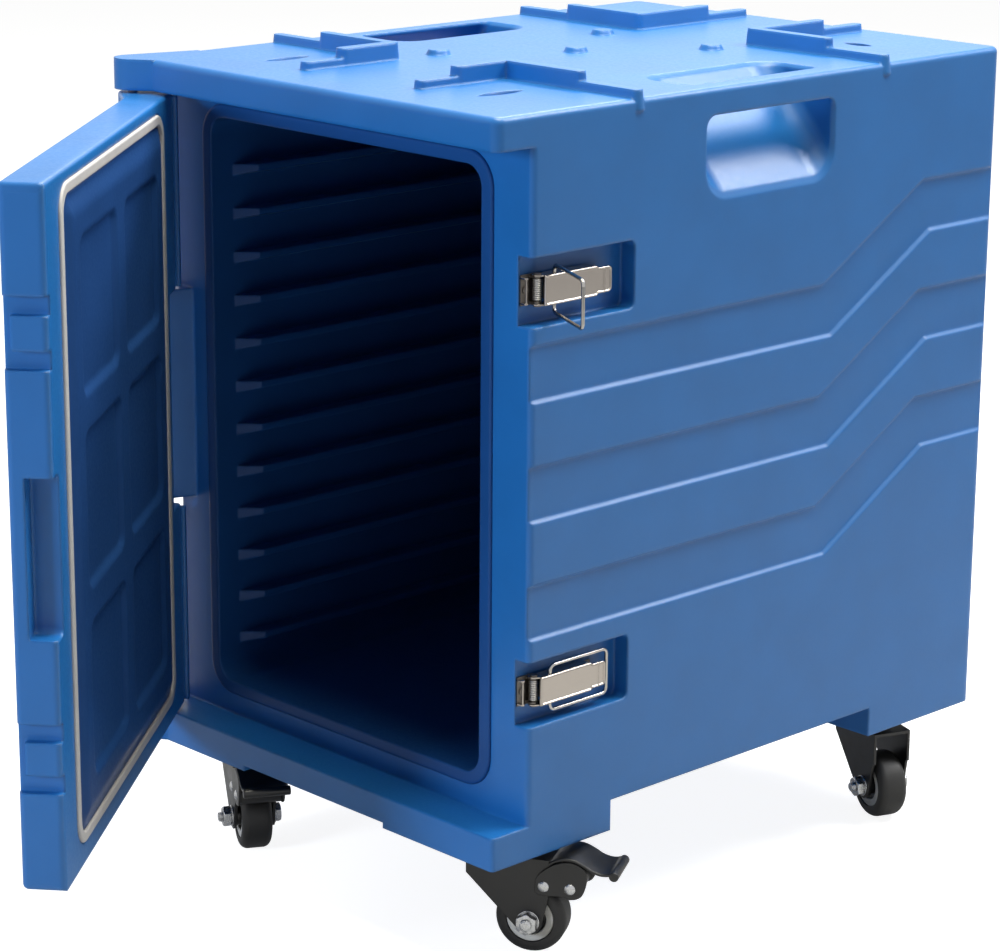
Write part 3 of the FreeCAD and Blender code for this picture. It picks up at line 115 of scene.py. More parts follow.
# Brake pedals, in millimetres from the pedal's pivot: along the trail and up
PEDAL = Sizes(face=21.4, plate=2.0, edge=0.5)
PIN = Sizes(radius=4.0, head=4.9, crown=2.0, waist=0.5)
SHOE = Sizes(place=(23.0, 0.0), bore=4.05, radius=9.0, bore_round=0.1, round=0.8)
CHEEK = (
    (-7.0, -6.5), (-7.5, 0.0), (-6.0, 8.0), (1.0, 15.5), (9.5, 21.0), (19.0, 23.6), (28.5, 22.6),
    (36.5, 17.0), (37.5, 8.0), (34.5, -3.0), (30.0, -7.8), (22.5, -9.6), (14.5, -7.6), (2.5, -8.2),
)
TREAD = (
    (5.5, 19.6), (10.5, 22.6), (18.0, 24.6), (26.0, 24.2), (34.0, 20.8),
    (41.0, 16.8), (48.5, 14.6), (55.5, 14.8), (61.5, 17.2),
)
TREAD_HALF = 1.3
TREAD_ROUND = 1.2
ROLL = Sizes(place=(60.5, 15.2), radius=4.2, edge=1.0)

# The soft boxes, in metres: place, aim, width, tint, and whether they show as highlights
SOFT_BOXES = {
    "top": ((0.3, 0.15, 2.7), (0.0, 0.1, 0.5), 1.2, "#FFFBE6", True),
    "side": ((1.4, 2.3, 3.1), (0.1, 0.2, 0.4), 1.2, "#FFFFFF", True),
    "front": ((-0.3, -3.2, 1.2), (0.0, 0.0, 0.4), 0.8, "#EAF2FF", False),
    "left": ((-1.5, 2.2, 3.1), (-0.1, 0.2, 0.4), 1.2, "#FFFFFF", True),
}

# The photograph's camera: degrees, then millimetres from the aim along its right, up and back
CAMERA_AZIMUTH = 46.13
CAMERA_ELEVATION = 15.42
CAMERA_ROLL = -0.39
CAMERA_AIM = np.array([-19.09, 49.29, 400.0])
CAMERA_OFFSET = np.array([25.12, -41.03, 2802.01])
FOCAL_PIXELS = 3156.9
PICTURE_WIDE = 1000
SENSOR = 36.0

# The finish of each of the record's material slots, and the door panel's own, whose darker blue is painted shade
FINISHES = {
    "shell_blue": "rotomoulded polyethylene body",
    "liner_blue": "rotomoulded polyethylene tub",
    "door_panel": "rotomoulded polyethylene panel",
    "foam": "poured polyurethane foam",
    "rod_steel": "drawn steel rod",
    "seal_grey": "moulded silicone",
    "bush_plastic": "moulded natural nylon",
    "latch_steel": "pressed stainless base",
    "lever_steel": "pressed stainless lever",
    "bail_steel": "drawn stainless wire",
    "spring_steel": "drawn spring wire",
    "caster_black": "black coated steel",
    "zinc": "zinc plated steel",
    "core_grey": "moulded pale nylon",
    "hub_dark": "moulded dark nylon",
    "tyre": "moulded tyre rubber",
}
SMOOTH_DEG = 40.0

# Most of a noise's values lie in this span, which is drawn out to a pattern's own limits
NOISE_SPAN = {"From Min": 0.3, "From Max": 0.7}


def linear(code):
    """The linear colour, with alpha 1, of an sRGB hex value."""
    parts = np.array([int(code[n:n + 2], 16) for n in (1, 3, 5)]) / 255
    low = parts / 12.92
    high = ((parts + 0.055) / 1.055) ** 2.4
    return (*np.where(parts <= 0.04045, low, high).tolist(), 1.0)


# Shapes, in millimetres of the frame

def joint_place(name):
    """Where a joint turns."""
    return np.array(JOINTS[name]["pos_m"]) / MM


def caster_axes(name):
    """A caster's directions along its trail, along its axle and up, from the joint of its wheel."""
    axle = np.array(JOINTS[name + "_wheel_spin"]["axis"])
    return np.array([[axle[1], -axle[0], 0.0], axle, UP])


def placed(origin, axes, *offsets):
    """Offsets from a place along three directions, as points of the frame."""
    return origin + np.stack(np.broadcast_arrays(*offsets), axis=-1) @ axes


def caster_points(name, joint, trail, axle, up):
    """Offsets from one of a caster's joints along the caster's directions, as points."""
    return placed(joint_place(f"{name}_{joint}"), caster_axes(name), trail, axle, up)


def door_axes():
    """The open door's directions along it, out of its inner face and up, from its hinge's way to shut."""
    shut = math.radians(JOINTS["door_hinge"]["range_deg"][0])
    return np.array([[math.cos(shut), math.sin(shut), 0.0], [-math.sin(shut), math.cos(shut), 0.0], UP])


def door_points(along, out, up):
    """Offsets from the hinge's foot along the door's directions, as points."""
    return placed(joint_place("door_hinge") * [1, 1, 0], door_axes(), along, out, up)


def in_door(node):
    """A node's points in the door's directions."""
    points = np.array([vertex.co for vertex in frame["nodes"][node].data.vertices]) / MM
    return (points - joint_place("door_hinge") * [1, 1, 0]) @ door_axes().T


def lever_points(latch, along, out, side):
    """Offsets from a lever's pivot, as points."""
    return placed(joint_place(f"{latch}_lever_pivot"), np.eye(3), out, along, side)


def sheet(grid, wrap_rows=False, ends=False):
    """Vertices and faces of a grid of points, whose columns meet round and whose cells are faces.

    With wrap_rows the last row meets the first; with ends the outer rows are closed by a face each.
    """
    rows, columns = grid.shape[:2]
    index = np.arange(rows * columns).reshape(rows, columns)
    if wrap_rows:
        index = np.vstack([index, index[:1]])
    index = np.hstack([index, index[:, :1]])
    cells = np.stack([index[:-1, :-1], index[:-1, 1:], index[1:, 1:], index[1:, :-1]], axis=-1)
    faces = cells.reshape(-1, 4).tolist()
    if ends:
        faces += [index[0, -2::-1].tolist(), index[-1, :-1].tolist()]
    return grid.reshape(-1, 3), faces


def outward(points, faces):
    """Turns a closed shape's faces over if its volume, a sum of tetrahedra from its middle, is negative."""
    corners = points[np.array([face for face in faces if len(face) == 4])]
    a, b, c, d = (corners[:, n] - points.mean(axis=0) for n in range(4))
    volume = np.einsum("ij,ij->", a, np.cross(b, c) + np.cross(c, d))
    return faces if volume > 0 else [face[::-1] for face in faces]


def make_piece(name, shapes, body, slot, replaced=None, finish=None):
    """One object made of closed shapes, which rides on a body and stands for a node or is new.

    It takes its slot's finish, unless it is given another.
    """
    faces, start = [], 0
    for points, shape_faces in shapes:
        faces += [[n + start for n in face] for face in outward(points, shape_faces)]
        start += len(points)
    mesh = bpy.data.meshes.new(name)
    mesh.from_pydata(np.vstack([points for points, _ in shapes]) * MM, [], faces)
    mesh.polygons.foreach_set("use_smooth", np.ones(len(mesh.polygons), bool))
    mesh.set_sharp_from_angle(angle=math.radians(SMOOTH_DEG))
    mesh.update()
    piece = bpy.data.objects.new(name, mesh)
    bpy.context.scene.collection.objects.link(piece)
    mesh.materials.append(bpy.data.materials[finish or FINISHES[slot]])
    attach(piece, body)
    if replaced:
        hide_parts(replaced)


def turned(name, joint, outline, sides, closed=True, offset=(0.0, 0.0)):
    """A turned shape: an outline of (radius, height) carried round a line along a caster's axle.

    A closed outline is a ring's section; an open one ends in a face at each end.
    """
    outline = np.asarray(outline, float)
    angle = np.linspace(0, TURN, sides, endpoint=False)
    radius, height = outline[:, :1], outline[:, 1:]
    trail, up = offset[0] + radius * np.cos(angle), offset[1] + radius * np.sin(angle)
    return sheet(caster_points(name, joint, trail, height, up), wrap_rows=closed, ends=not closed)


def arc(centre, radius, start_deg, end_deg, steps):
    """Points on an arc in a plane, both ends included."""
    angle = np.radians(np.linspace(start_deg, end_deg, steps))
    return np.array(centre) + radius * np.stack([np.cos(angle), np.sin(angle)], axis=-1)


def rounded_section(low, high, half, low_round, high_round, steps):
    """A rectangle of (radius, height) whose corners are arcs, with one radius at each side."""
    a, b = low_round, high_round
    return np.vstack([
        arc((low + a, -half + a), a, 180, 270, steps), arc((high - b, -half + b), b, 270, 360, steps),
        arc((high - b, half - b), b, 0, 90, steps), arc((low + a, half - a), a, 90, 180, steps),
    ])


def tube(path, sideways, radius, sides):
    """A round wire: a circle carried along a path, in the plane of sideways and the cross direction."""
    along = np.gradient(path, axis=0)
    along /= np.linalg.norm(along, axis=1, keepdims=True)
    over = np.cross(along, sideways)
    over /= np.linalg.norm(over, axis=1, keepdims=True)
    angle = np.linspace(0, TURN, sides, endpoint=False)[None, :, None]
    ring = np.cos(angle) * sideways[:, None] + np.sin(angle) * over[:, None]
    return sheet(path[:, None] + radius * ring, ends=True)


def flowing(points, loop, steps=8):
    """A smooth line through points by Catmull-Rom spans, closed if it is a loop."""
    points = np.asarray(points, float)
    if loop:
        padded = np.vstack([points[-1:], points, points[:2]])
    else:
        padded = np.vstack([2 * points[:1] - points[1:2], points, 2 * points[-1:] - points[-2:-1]])
    a, b, c, d = (padded[n:len(padded) - 3 + n, None] for n in range(4))
    t = np.linspace(0, 1, steps, endpoint=False)[None, :, None]
    line = b + 0.5 * ((c - a) * t + (2 * a - 5 * b + 4 * c - d) * t ** 2 + (3 * b - a - 3 * c + d) * t ** 3)
    line = line.reshape(-1, points.shape[1])
    return line if loop else np.vstack([line, points[-1:]])


def left_of(line, closed):
    """The unit normals of a plane line, to its left."""
    along = np.roll(line, -1, axis=0) - np.roll(line, 1, axis=0) if closed else np.gradient(line, axis=0)
    along /= np.linalg.norm(along, axis=1, keepdims=True)
    return np.stack([-along[:, 1], along[:, 0]], axis=-1)


def eased(share):
    """A share from 0 to 1 with a smooth start and end."""
    share = np.clip(share, 0, 1)
    return share * share * (3 - 2 * share)


def row_halves(rows, half, low, high, corner):
    """Half of a rounded rectangle's width at each of its rows."""
    into = np.maximum(0, np.maximum(low + corner - rows, rows - high + corner))
    return half - corner + np.sqrt(corner ** 2 - np.minimum(into, corner) ** 2)


def inside(across, rows, half, low, high, corner):
    """How far points lie inside a rounded rectangle; outside of it less than 0."""
    over = np.abs(across) - half + corner
    beyond = np.abs(rows - (low + high) / 2) - (high - low) / 2 + corner
    outside = np.hypot(np.maximum(over, 0), np.maximum(beyond, 0))
    return corner - outside - np.minimum(np.maximum(over, beyond), 0)


# Finishes

def add(tree, kind, inputs=None, **settings):
    """A node with its settings. Each input is a value, or the node or socket that feeds it."""
    node = tree.nodes.new(kind)
    for name, value in settings.items():
        setattr(node, name, value)
    for name, value in (inputs or {}).items():
        named = [socket for socket in node.inputs if socket.enabled and socket.name == name]
        socket = named[0] if named else node.inputs[name]
        if isinstance(value, bpy.types.Node):
            value = next(output for output in value.outputs if output.enabled)
        if isinstance(value, bpy.types.NodeSocket):
            tree.links.new(value, socket)
        else:
            socket.default_value = value
    return node


def per_metre(size_mm):
    """The scale of a pattern whose features are this many millimetres across."""
    return 1 / (size_mm * MM)


def shade(colour, factor):
    """A colour made darker or lighter."""
    return (*(min(1.0, part * factor) for part in colour[:3]), 1.0)


def new_finish(name):
    """A new material's empty node tree, and the object's own coordinates in it."""
    material = bpy.data.materials.new(name)
    material.use_nodes = True
    tree = material.node_tree
    tree.nodes.clear()
    return tree, add(tree, "ShaderNodeTexCoord").outputs["Object"]


def mix_finish(name, recipe, *values):
    """A material with one surface shader, whose inputs the recipe returns."""
    tree, where = new_finish(name)
    surface = add(tree, "ShaderNodeBsdfPrincipled", recipe(tree, where, *values))
    add(tree, "ShaderNodeOutputMaterial", {"Surface": surface})


def rotomoulded_polyethylene(tree, where, colour, edge, rough, shine):
    """Polyethylene powder melted on the wall of a turning mould."""
    # It looks waxy: a satin skin with a faint orange peel, a slow drift of tone where the powder
    # melted unevenly, and round edges painted paler as a painted highlight. Less shine gives a duller wall.
    drift = add(tree, "ShaderNodeTexNoise", {"Vector": where, "Scale": per_metre(70), "Detail": 2.0})
    drift = add(tree, "ShaderNodeMapRange", {"Value": drift, **NOISE_SPAN})
    tints = {"Factor": drift, "A": shade(colour, 0.94), "B": shade(colour, 1.05)}
    body = add(tree, "ShaderNodeMix", tints, data_type="RGBA")
    rounded = add(tree, "ShaderNodeBevel", {"Radius": edge}, samples=6)
    flat = add(tree, "ShaderNodeNewGeometry").outputs["Normal"]
    bend = add(tree, "ShaderNodeVectorMath", {0: rounded, 1: flat}, operation="DOT_PRODUCT")
    # Edges are painted paler where the rounded normal bends away from the flat one: a painted highlight
    limits = {"Value": bend, "From Min": 0.995, "From Max": 0.86, "To Min": 0.0, "To Max": 0.12}
    edge_highlight = add(tree, "ShaderNodeMapRange", limits)
    tints = {"Factor": edge_highlight, "A": body, "B": shade(colour, 2.1)}
    body = add(tree, "ShaderNodeMix", tints, data_type="RGBA")
    # The real peel is about 1 mm across, too fine to show, so it is drawn at 3 mm
    peel = add(tree, "ShaderNodeTexNoise", {"Vector": where, "Scale": per_metre(3), "Detail": 2.0})
    skin = {"Strength": 0.10, "Distance": 0.35 * MM, "Height": peel, "Normal": rounded}
    skin = add(tree, "ShaderNodeBump", skin)
    limits = {"Value": peel, **NOISE_SPAN, "To Min": rough - 0.04, "To Max": rough + 0.05}
    gloss = add(tree, "ShaderNodeMapRange", limits)
    surface = {"Base Color": body, "Roughness": gloss, "Normal": skin}
    return {**surface, "IOR": 1.51, "Specular IOR Level": shine}


def pressed_stainless(tree, where, colour, rough):
    """Stainless sheet, brushed along its length and pressed to shape."""
    # It looks bright and streaked: brush lines draw the reflections out, and pressed edges catch light.
    # Real brush lines are about 0.05 mm wide, so they are drawn at 0.3 mm to show
    streaks = add(tree, "ShaderNodeMapping", {"Vector": where, "Scale": (1, 0.02, 1)})
    lines = add(tree, "ShaderNodeTexNoise", {"Vector": streaks, "Scale": per_metre(0.3), "Detail": 3.0})
    tints = {"Factor": lines, "A": shade(colour, 0.92), "B": shade(colour, 1.06)}
    body = add(tree, "ShaderNodeMix", tints, data_type="RGBA")
    rounded = add(tree, "ShaderNodeBevel", {"Radius": 0.5 * MM}, samples=6)
    grain = {"Strength": 0.05, "Distance": 0.03 * MM, "Height": lines, "Normal": rounded}
    grain = add(tree, "ShaderNodeBump", grain)
    limits = {"Value": lines, **NOISE_SPAN, "To Min": rough - 0.04, "To Max": rough + 0.05}
    gloss = add(tree, "ShaderNodeMapRange", limits)
    return {"Base Color": body, "Metallic": 1.0, "Roughness": gloss, "Normal": grain}


def drawn_steel(tree, where, colour, rough):
    """Steel wire or rod, drawn bright through a die."""
    # It looks nearly polished, with the die's light marks clouding the shine a little.
    marks = add(tree, "ShaderNodeTexNoise", {"Vector": where, "Scale": per_metre(0.8), "Detail": 2.0})
    tints = {"Factor": marks, "A": shade(colour, 0.92), "B": shade(colour, 1.04)}
    body = add(tree, "ShaderNodeMix", tints, data_type="RGBA")
    limits = {"Value": marks, **NOISE_SPAN, "To Min": rough - 0.04, "To Max": rough + 0.06}
    gloss = add(tree, "ShaderNodeMapRange", limits)
    return {"Base Color": body, "Metallic": 1.0, "Roughness": gloss}


def zinc_plated_steel(tree, where, colour):
    """Turned and pressed steel with a bright zinc plate."""
    # It looks silvery with faint clouds, and its tumbled edges are soft.
    cloud = add(tree, "ShaderNodeTexNoise", {"Vector": where, "Scale": per_metre(4), "Detail": 3.0})
    tints = {"Factor": cloud, "A": shade(colour, 0.85), "B": shade(colour, 1.05)}
    body = add(tree, "ShaderNodeMix", tints, data_type="RGBA")
    limits = {"Value": cloud, **NOISE_SPAN, "To Min": 0.2, "To Max": 0.34}
    gloss = add(tree, "ShaderNodeMapRange", limits)
    rounded = add(tree, "ShaderNodeBevel", {"Radius": 0.4 * MM}, samples=6)
    return {"Base Color": body, "Metallic": 1.0, "Roughness": gloss, "Normal": rounded}


def coated_steel(tree, where, colour):
    """Pressed steel with a baked black coat."""
    # It looks half glossy and slightly wavy, with a little dust and soft bright edges.
    dust = add(tree, "ShaderNodeTexNoise", {"Vector": where, "Scale": per_metre(14), "Detail": 4.0})
    limits = {"Value": dust, "From Min": 0.45, "From Max": 0.8, "To Min": 0.0, "To Max": 0.5}
    dusty = add(tree, "ShaderNodeMapRange", limits)
    tints = {"Factor": dusty, "A": colour, "B": shade(colour, 2.0)}
    body = add(tree, "ShaderNodeMix", tints, data_type="RGBA")
    rounded = add(tree, "ShaderNodeBevel", {"Radius": 0.8 * MM}, samples=6)
    # The coat's waves are about 1 mm across, too fine to show, so they are drawn at 2 mm
    waves = add(tree, "ShaderNodeTexNoise", {"Vector": where, "Scale": per_metre(2), "Detail": 2.0})
    coat = {"Strength": 0.12, "Distance": 0.15 * MM, "Height": waves, "Normal": rounded}
    coat = add(tree, "ShaderNodeBump", coat)
    limits = {"Value": dust, **NOISE_SPAN, "To Min": 0.3, "To Max": 0.42}
    gloss = add(tree, "ShaderNodeMapRange", limits)
    return {"Base Color": body, "Roughness": gloss, "Normal": coat, "IOR": 1.5}


def moulded_rubber(tree, where, colour, rough, dust_tint):
    """Rubber or silicone pressed in a finely blasted mould."""
    # It looks matt and even, with a fine grain and a breath of dust in its tone.
    dust = add(tree, "ShaderNodeTexNoise", {"Vector": where, "Scale": per_metre(18), "Detail": 4.0})
    dusty = add(tree, "ShaderNodeMapRange", {"Value": dust, "From Min": 0.4, "From Max": 0.75})
    tints = {"Factor": dusty, "A": colour, "B": shade(colour, dust_tint)}
    body = add(tree, "ShaderNodeMix", tints, data_type="RGBA")
    # The blasted grain is about 0.1 mm across, so it is drawn at 0.7 mm to show
    grain = add(tree, "ShaderNodeTexNoise", {"Vector": where, "Scale": per_metre(0.7), "Detail": 3.0})
    grained = add(tree, "ShaderNodeBump", {"Strength": 0.2, "Distance": 0.12 * MM, "Height": grain})
    limits = {"Value": grain, **NOISE_SPAN, "To Min": rough - 0.06, "To Max": rough + 0.06}
    gloss = add(tree, "ShaderNodeMapRange", limits)
    return {"Base Color": body, "Roughness": gloss, "Normal": grained, "IOR": 1.5}


def moulded_nylon(tree, where, colour, rough):
    """Nylon injected into a polished mould."""
    # It looks satin and clean, with soft edges and faint flow marks.
    flow = add(tree, "ShaderNodeTexNoise", {"Vector": where, "Scale": per_metre(9), "Detail": 3.0})
    tints = {"Factor": flow, "A": shade(colour, 0.95), "B": shade(colour, 1.04)}
    body = add(tree, "ShaderNodeMix", tints, data_type="RGBA")
    limits = {"Value": flow, **NOISE_SPAN, "To Min": rough - 0.05, "To Max": rough + 0.05}
    gloss = add(tree, "ShaderNodeMapRange", limits)
    rounded = add(tree, "ShaderNodeBevel", {"Radius": 0.5 * MM}, samples=6)
    return {"Base Color": body, "Roughness": gloss, "Normal": rounded, "IOR": 1.53}


def poured_foam(tree, where, colour):
    """Polyurethane foam, poured and left to rise between the walls."""
    # It looks pale and matt, speckled by small cells.
    cells = add(tree, "ShaderNodeTexNoise", {"Vector": where, "Scale": per_metre(1.2), "Detail": 2.0})
    tints = {"Factor": cells, "A": shade(colour, 0.88), "B": colour}
    body = add(tree, "ShaderNodeMix", tints, data_type="RGBA")
    pits = add(tree, "ShaderNodeBump", {"Strength": 0.3, "Distance": 0.4 * MM, "Height": cells})
    return {"Base Color": body, "Roughness": 0.9, "Normal": pits, "IOR": 1.45}


# What a user would change

def colour_of(name, code, words):
    """A colour property with an sRGB hex value as its default."""
    return FloatVectorProperty(
        name=name, description=words, subtype="COLOR", size=4, min=0, max=1, default=linear(code),
    )


def length_of(name, millimetres, words, low, high):
    """A length property, in metres, with its default and limits in millimetres."""
    return FloatProperty(
        name=name, description=words, unit="LENGTH", subtype="DISTANCE", precision=4,
        default=millimetres * MM, min=low * MM, max=high * MM,
    )


def watts_of(name, watts, words):
    """A lamp's power property."""
    return FloatProperty(name=name, description=words, unit="POWER", default=watts, min=0, max=500)


class CartColours(bpy.types.PropertyGroup):
    """The colours of the cart's finishes."""
    body: colour_of("Body", "#1E69B1", "Polyethylene of the cabinet and the door")
    tub: colour_of("Tub", "#1A4A88", "Polyethylene of the tub")
    # The door panel is the body's polyethylene, its colour darkened as painted shade
    panel: colour_of("Door panel", "#1F4278", "Polyethylene of the door's inner panel, darkened as painted shade")
    seal: colour_of("Seal", "#BDBBBC", "Silicone of the door seal")
    lever: colour_of("Latches", "#A8A19B", "Stainless sheet of the latches")
    wire: colour_of("Wire", "#AEACA9", "Stainless wire of the bails and springs")
    zinc: colour_of("Zinc", "#BDBEC0", "Zinc plate of bolts, nuts and rivets")
    coat: colour_of("Casters", "#0B0B0D", "Black coat of the forks and pedals")
    tyre: colour_of("Tyres", "#121213", "Rubber of the tyres")
    core: colour_of("Wheel cores", "#CBCAC6", "Nylon of the wheel cores")
    hub: colour_of("Wheel hubs", "#161618", "Nylon of the hub covers")
    bush: colour_of("Hinge bushes", "#DEDEDA", "Nylon of the hinge bushes")
    foam: colour_of("Foam", "#E6DDC0", "Foam between the walls")
    floor: colour_of("Floor", "#BEBEBE", "Floor under the cart")


class CartSizes(bpy.types.PropertyGroup):
    """The sizes of the fine pieces, and the light."""
    edge: length_of("Edge round", 3.8, "Round that the light shows on moulded edges", 0.2, 8.0)
    rough: FloatProperty(
        name="Body roughness", description="Roughness of the moulded body", subtype="FACTOR",
        default=0.36, min=0.1, max=0.9,
    )
    coil_turns: IntProperty(
        name="Spring turns", description="Turns of each latch spring", default=11, min=4, max=12,
    )
    coil_wire: length_of("Spring wire", 0.55, "Radius of the spring wire", 0.2, 0.6)
    bail_wire: length_of("Bail wire", 1.6, "Radius of the bail wire", 0.5, 2.0)
    tyre_round: length_of("Tyre shoulder", 7.0, "Round of the tyre's shoulders", 2.0, 9.0)
    top_light: watts_of("Top light", 76, "Power of the soft box above the cart")
    side_light: watts_of("Side light", 100, "Power of the high soft box behind the cart's right side")
    front_light: watts_of("Front light", 60, "Power of the soft box in front of the door")
    left_light: watts_of("Left light", 62, "Power of the high soft box behind the cart's left side")


# The finishes' and the pieces' operators

class CART_OT_mix_finishes(bpy.types.Operator):
    """Makes the finishes and gives each solid its own"""
    bl_idname = "cart.mix_finishes"
    bl_label = "Finishes"

    def execute(self, context):
        sizes = context.scene.cart_sizes
        colours = context.scene.cart_colours
        tint = {name: tuple(getattr(colours, name)) for name in CartColours.__annotations__}
        # After each recipe come the values that it takes, in its own order
        recipes = (
            ("shell_blue", rotomoulded_polyethylene, tint["body"], sizes.edge, sizes.rough, 0.5),
            ("liner_blue", rotomoulded_polyethylene, tint["tub"], sizes.edge, sizes.rough, 0.2),
            # The door panel's darker colour is painted shade on the same polyethylene
            ("door_panel", rotomoulded_polyethylene, tint["panel"], sizes.edge, sizes.rough, 0.2),
            ("foam", poured_foam, tint["foam"]),
            ("rod_steel", drawn_steel, shade(tint["wire"], 0.6), 0.3),
            ("seal_grey", moulded_rubber, tint["seal"], 0.5, 0.9),
            ("bush_plastic", moulded_nylon, tint["bush"], 0.4),
            # The bases' stainless is darkened to 0.42 of the levers' as painted shade, for the shade in their
            # channels
            ("latch_steel", pressed_stainless, shade(tint["lever"], 0.42), 0.3),
            ("lever_steel", pressed_stainless, tint["lever"], 0.18),
            ("bail_steel", drawn_steel, tint["wire"], 0.16),
            # The springs' wire is the same stainless, lightened half again as a painted highlight
            ("spring_steel", drawn_steel, shade(tint["wire"], 1.5), 0.26),
            ("caster_black", coated_steel, tint["coat"]),
            ("zinc", zinc_plated_steel, tint["zinc"]),
            ("core_grey", moulded_nylon, tint["core"], 0.42),
            ("hub_dark", moulded_nylon, tint["hub"], 0.36),
            ("tyre", moulded_rubber, tint["tyre"], 0.55, 1.5),
        )
        for key, recipe, *values in recipes:
            mix_finish(FINISHES[key], recipe, *values)
        for entry in frame["record"]["subparts"]:
            materials = frame["nodes"][entry["node"]].data.materials
            materials.clear()
            materials.append(bpy.data.materials[FINISHES[entry["material_slot"]]])
        return {"FINISHED"}


class CART_OT_mould_door(bpy.types.Operator):
    """Moulds the door's inner panel with soft fields, its hinge edge's lip and its top's round"""
    bl_idname = "cart.mould_door"
    bl_label = "Door panel, lip and top"

    def execute(self, context):
        seal = in_door("door_seal")
        face = seal[:, 1].max() - SEAL_PROUD
        self.mould_panel(seal.min(axis=0) + SEAL_BAND, seal.max(axis=0) - SEAL_BAND, face)
        self.mould_lip(face)
        self.mould_crown(in_door("door_shell").max(axis=0))
        return {"FINISHED"}

    def mould_panel(self, low, high, face):
        """A low panel inside the seal.

        Its height over a rounded rectangle is an eased slope of the distance from the rectangle's
        edge, less an eased slope of the distance from the edge of each sunk field.
        """
        middle, half = (low[0] + high[0]) / 2, (high[0] - low[0]) / 2
        rows = np.linspace(low[2], high[2], PANEL.rows)[:, None]
        halves = row_halves(rows, half, low[2], high[2], PANEL.corner)
        across = np.linspace(-1, 1, PANEL.columns) * halves
        edge = inside(across, rows, half, low[2], high[2], PANEL.corner)
        height = PANEL.rise * eased(edge / PANEL.bevel)
        inset, rib = FIELDS.border, FIELDS.rib
        wide = (2 * half - 2 * inset + rib) / FIELDS.columns - rib
        tall = (high[2] - low[2] - 2 * inset + rib) / FIELDS.rows - rib
        for column in range(FIELDS.columns):
            centre = inset - half + wide / 2 + column * (wide + rib)
            for row in range(FIELDS.rows):
                start = low[2] + inset + row * (tall + rib)
                edge = inside(across - centre, rows, wide / 2, start, start + tall, FIELDS.corner)
                height -= FIELDS.sink * eased(edge / FIELDS.slope)
        # Each row is closed by two points at the panel's back
        back = np.full_like(rows, face - PANEL.deep)
        along = middle + np.hstack([across, halves, -halves])
        out = np.hstack([face + height, back, back])
        make_piece(
            "door_inner_panel", [sheet(door_points(along, out, rows), ends=True)], "door", "liner_blue",
            "door_panel", FINISHES["door_panel"],
        )

    def mould_lip(self, face):
        """A low strip on the hinge edge, a rounded rectangle carried up beside each of the knuckles."""
        half, root, bend = LIP.wide / 2, LIP.root, LIP.round
        section = rounded_section(face - LIP.sunk, face + LIP.proud, half, root, bend, 5)
        along = LIP.start + half + section[:, 1]
        # The hinge bushes stand at both ends of each knuckle, so their ends give the knuckles' heights
        ends = np.unique(in_door("hinge_bushes")[:, 2].round(1))
        strips = []
        for low, high in ((ends[0], ends[3]), (ends[4], ends[7] + CROWN.rise)):
            rows = np.array([[low + LIP.short], [high - LIP.short]])
            strips.append(sheet(door_points(along, section[:, 0], rows), ends=True))
        make_piece("door_hinge_lip", strips, "door", "shell_blue")

    def mould_crown(self, end):
        """The door's top, a little higher and with a round edge.

        The outline of the door and its knuckle is carried up, then up and inwards on a quarter circle.
        """
        gap, rise, corner = CROWN.gap, CROWN.rise, CROWN.corner
        radius, start = KNUCKLE.radius + gap, KNUCKLE.start - gap
        low, high = -gap, end[1] + gap
        run = math.degrees(math.acos(radius / KNUCKLE.run))
        back = math.degrees(math.acos(radius / math.hypot(start, KNUCKLE.back)))
        back += math.degrees(math.atan2(KNUCKLE.back, start))
        far = end[0] + gap - corner
        outline = np.vstack([
            arc((0, 0), radius, back, 360 - run, 19), [[KNUCKLE.run, low]],
            arc((far, low + corner), corner, 270, 360, 6), arc((far, high - corner), corner, 0, 90, 6),
            arc((start + corner, high - corner), corner, 90, 180, 6), [[start, KNUCKLE.back]],
        ])
        turn = np.concatenate([[0], np.linspace(0, TURN / 4, 7)])[:, None]
        rows = end[2] + rise * np.sin(turn)
        inwards = rise * (1 - np.cos(turn))
        # The foot is drawn in under the door's skin, so that no edge shows where the two meet
        rows[0] -= CROWN.skirt
        inwards[0] = 3 * gap
        rings = outline + inwards[..., None] * left_of(outline, closed=True)
        shape = sheet(door_points(rings[..., 0], rings[..., 1], rows), ends=True)
        make_piece("door_top_round", [shape], "door", "shell_blue")


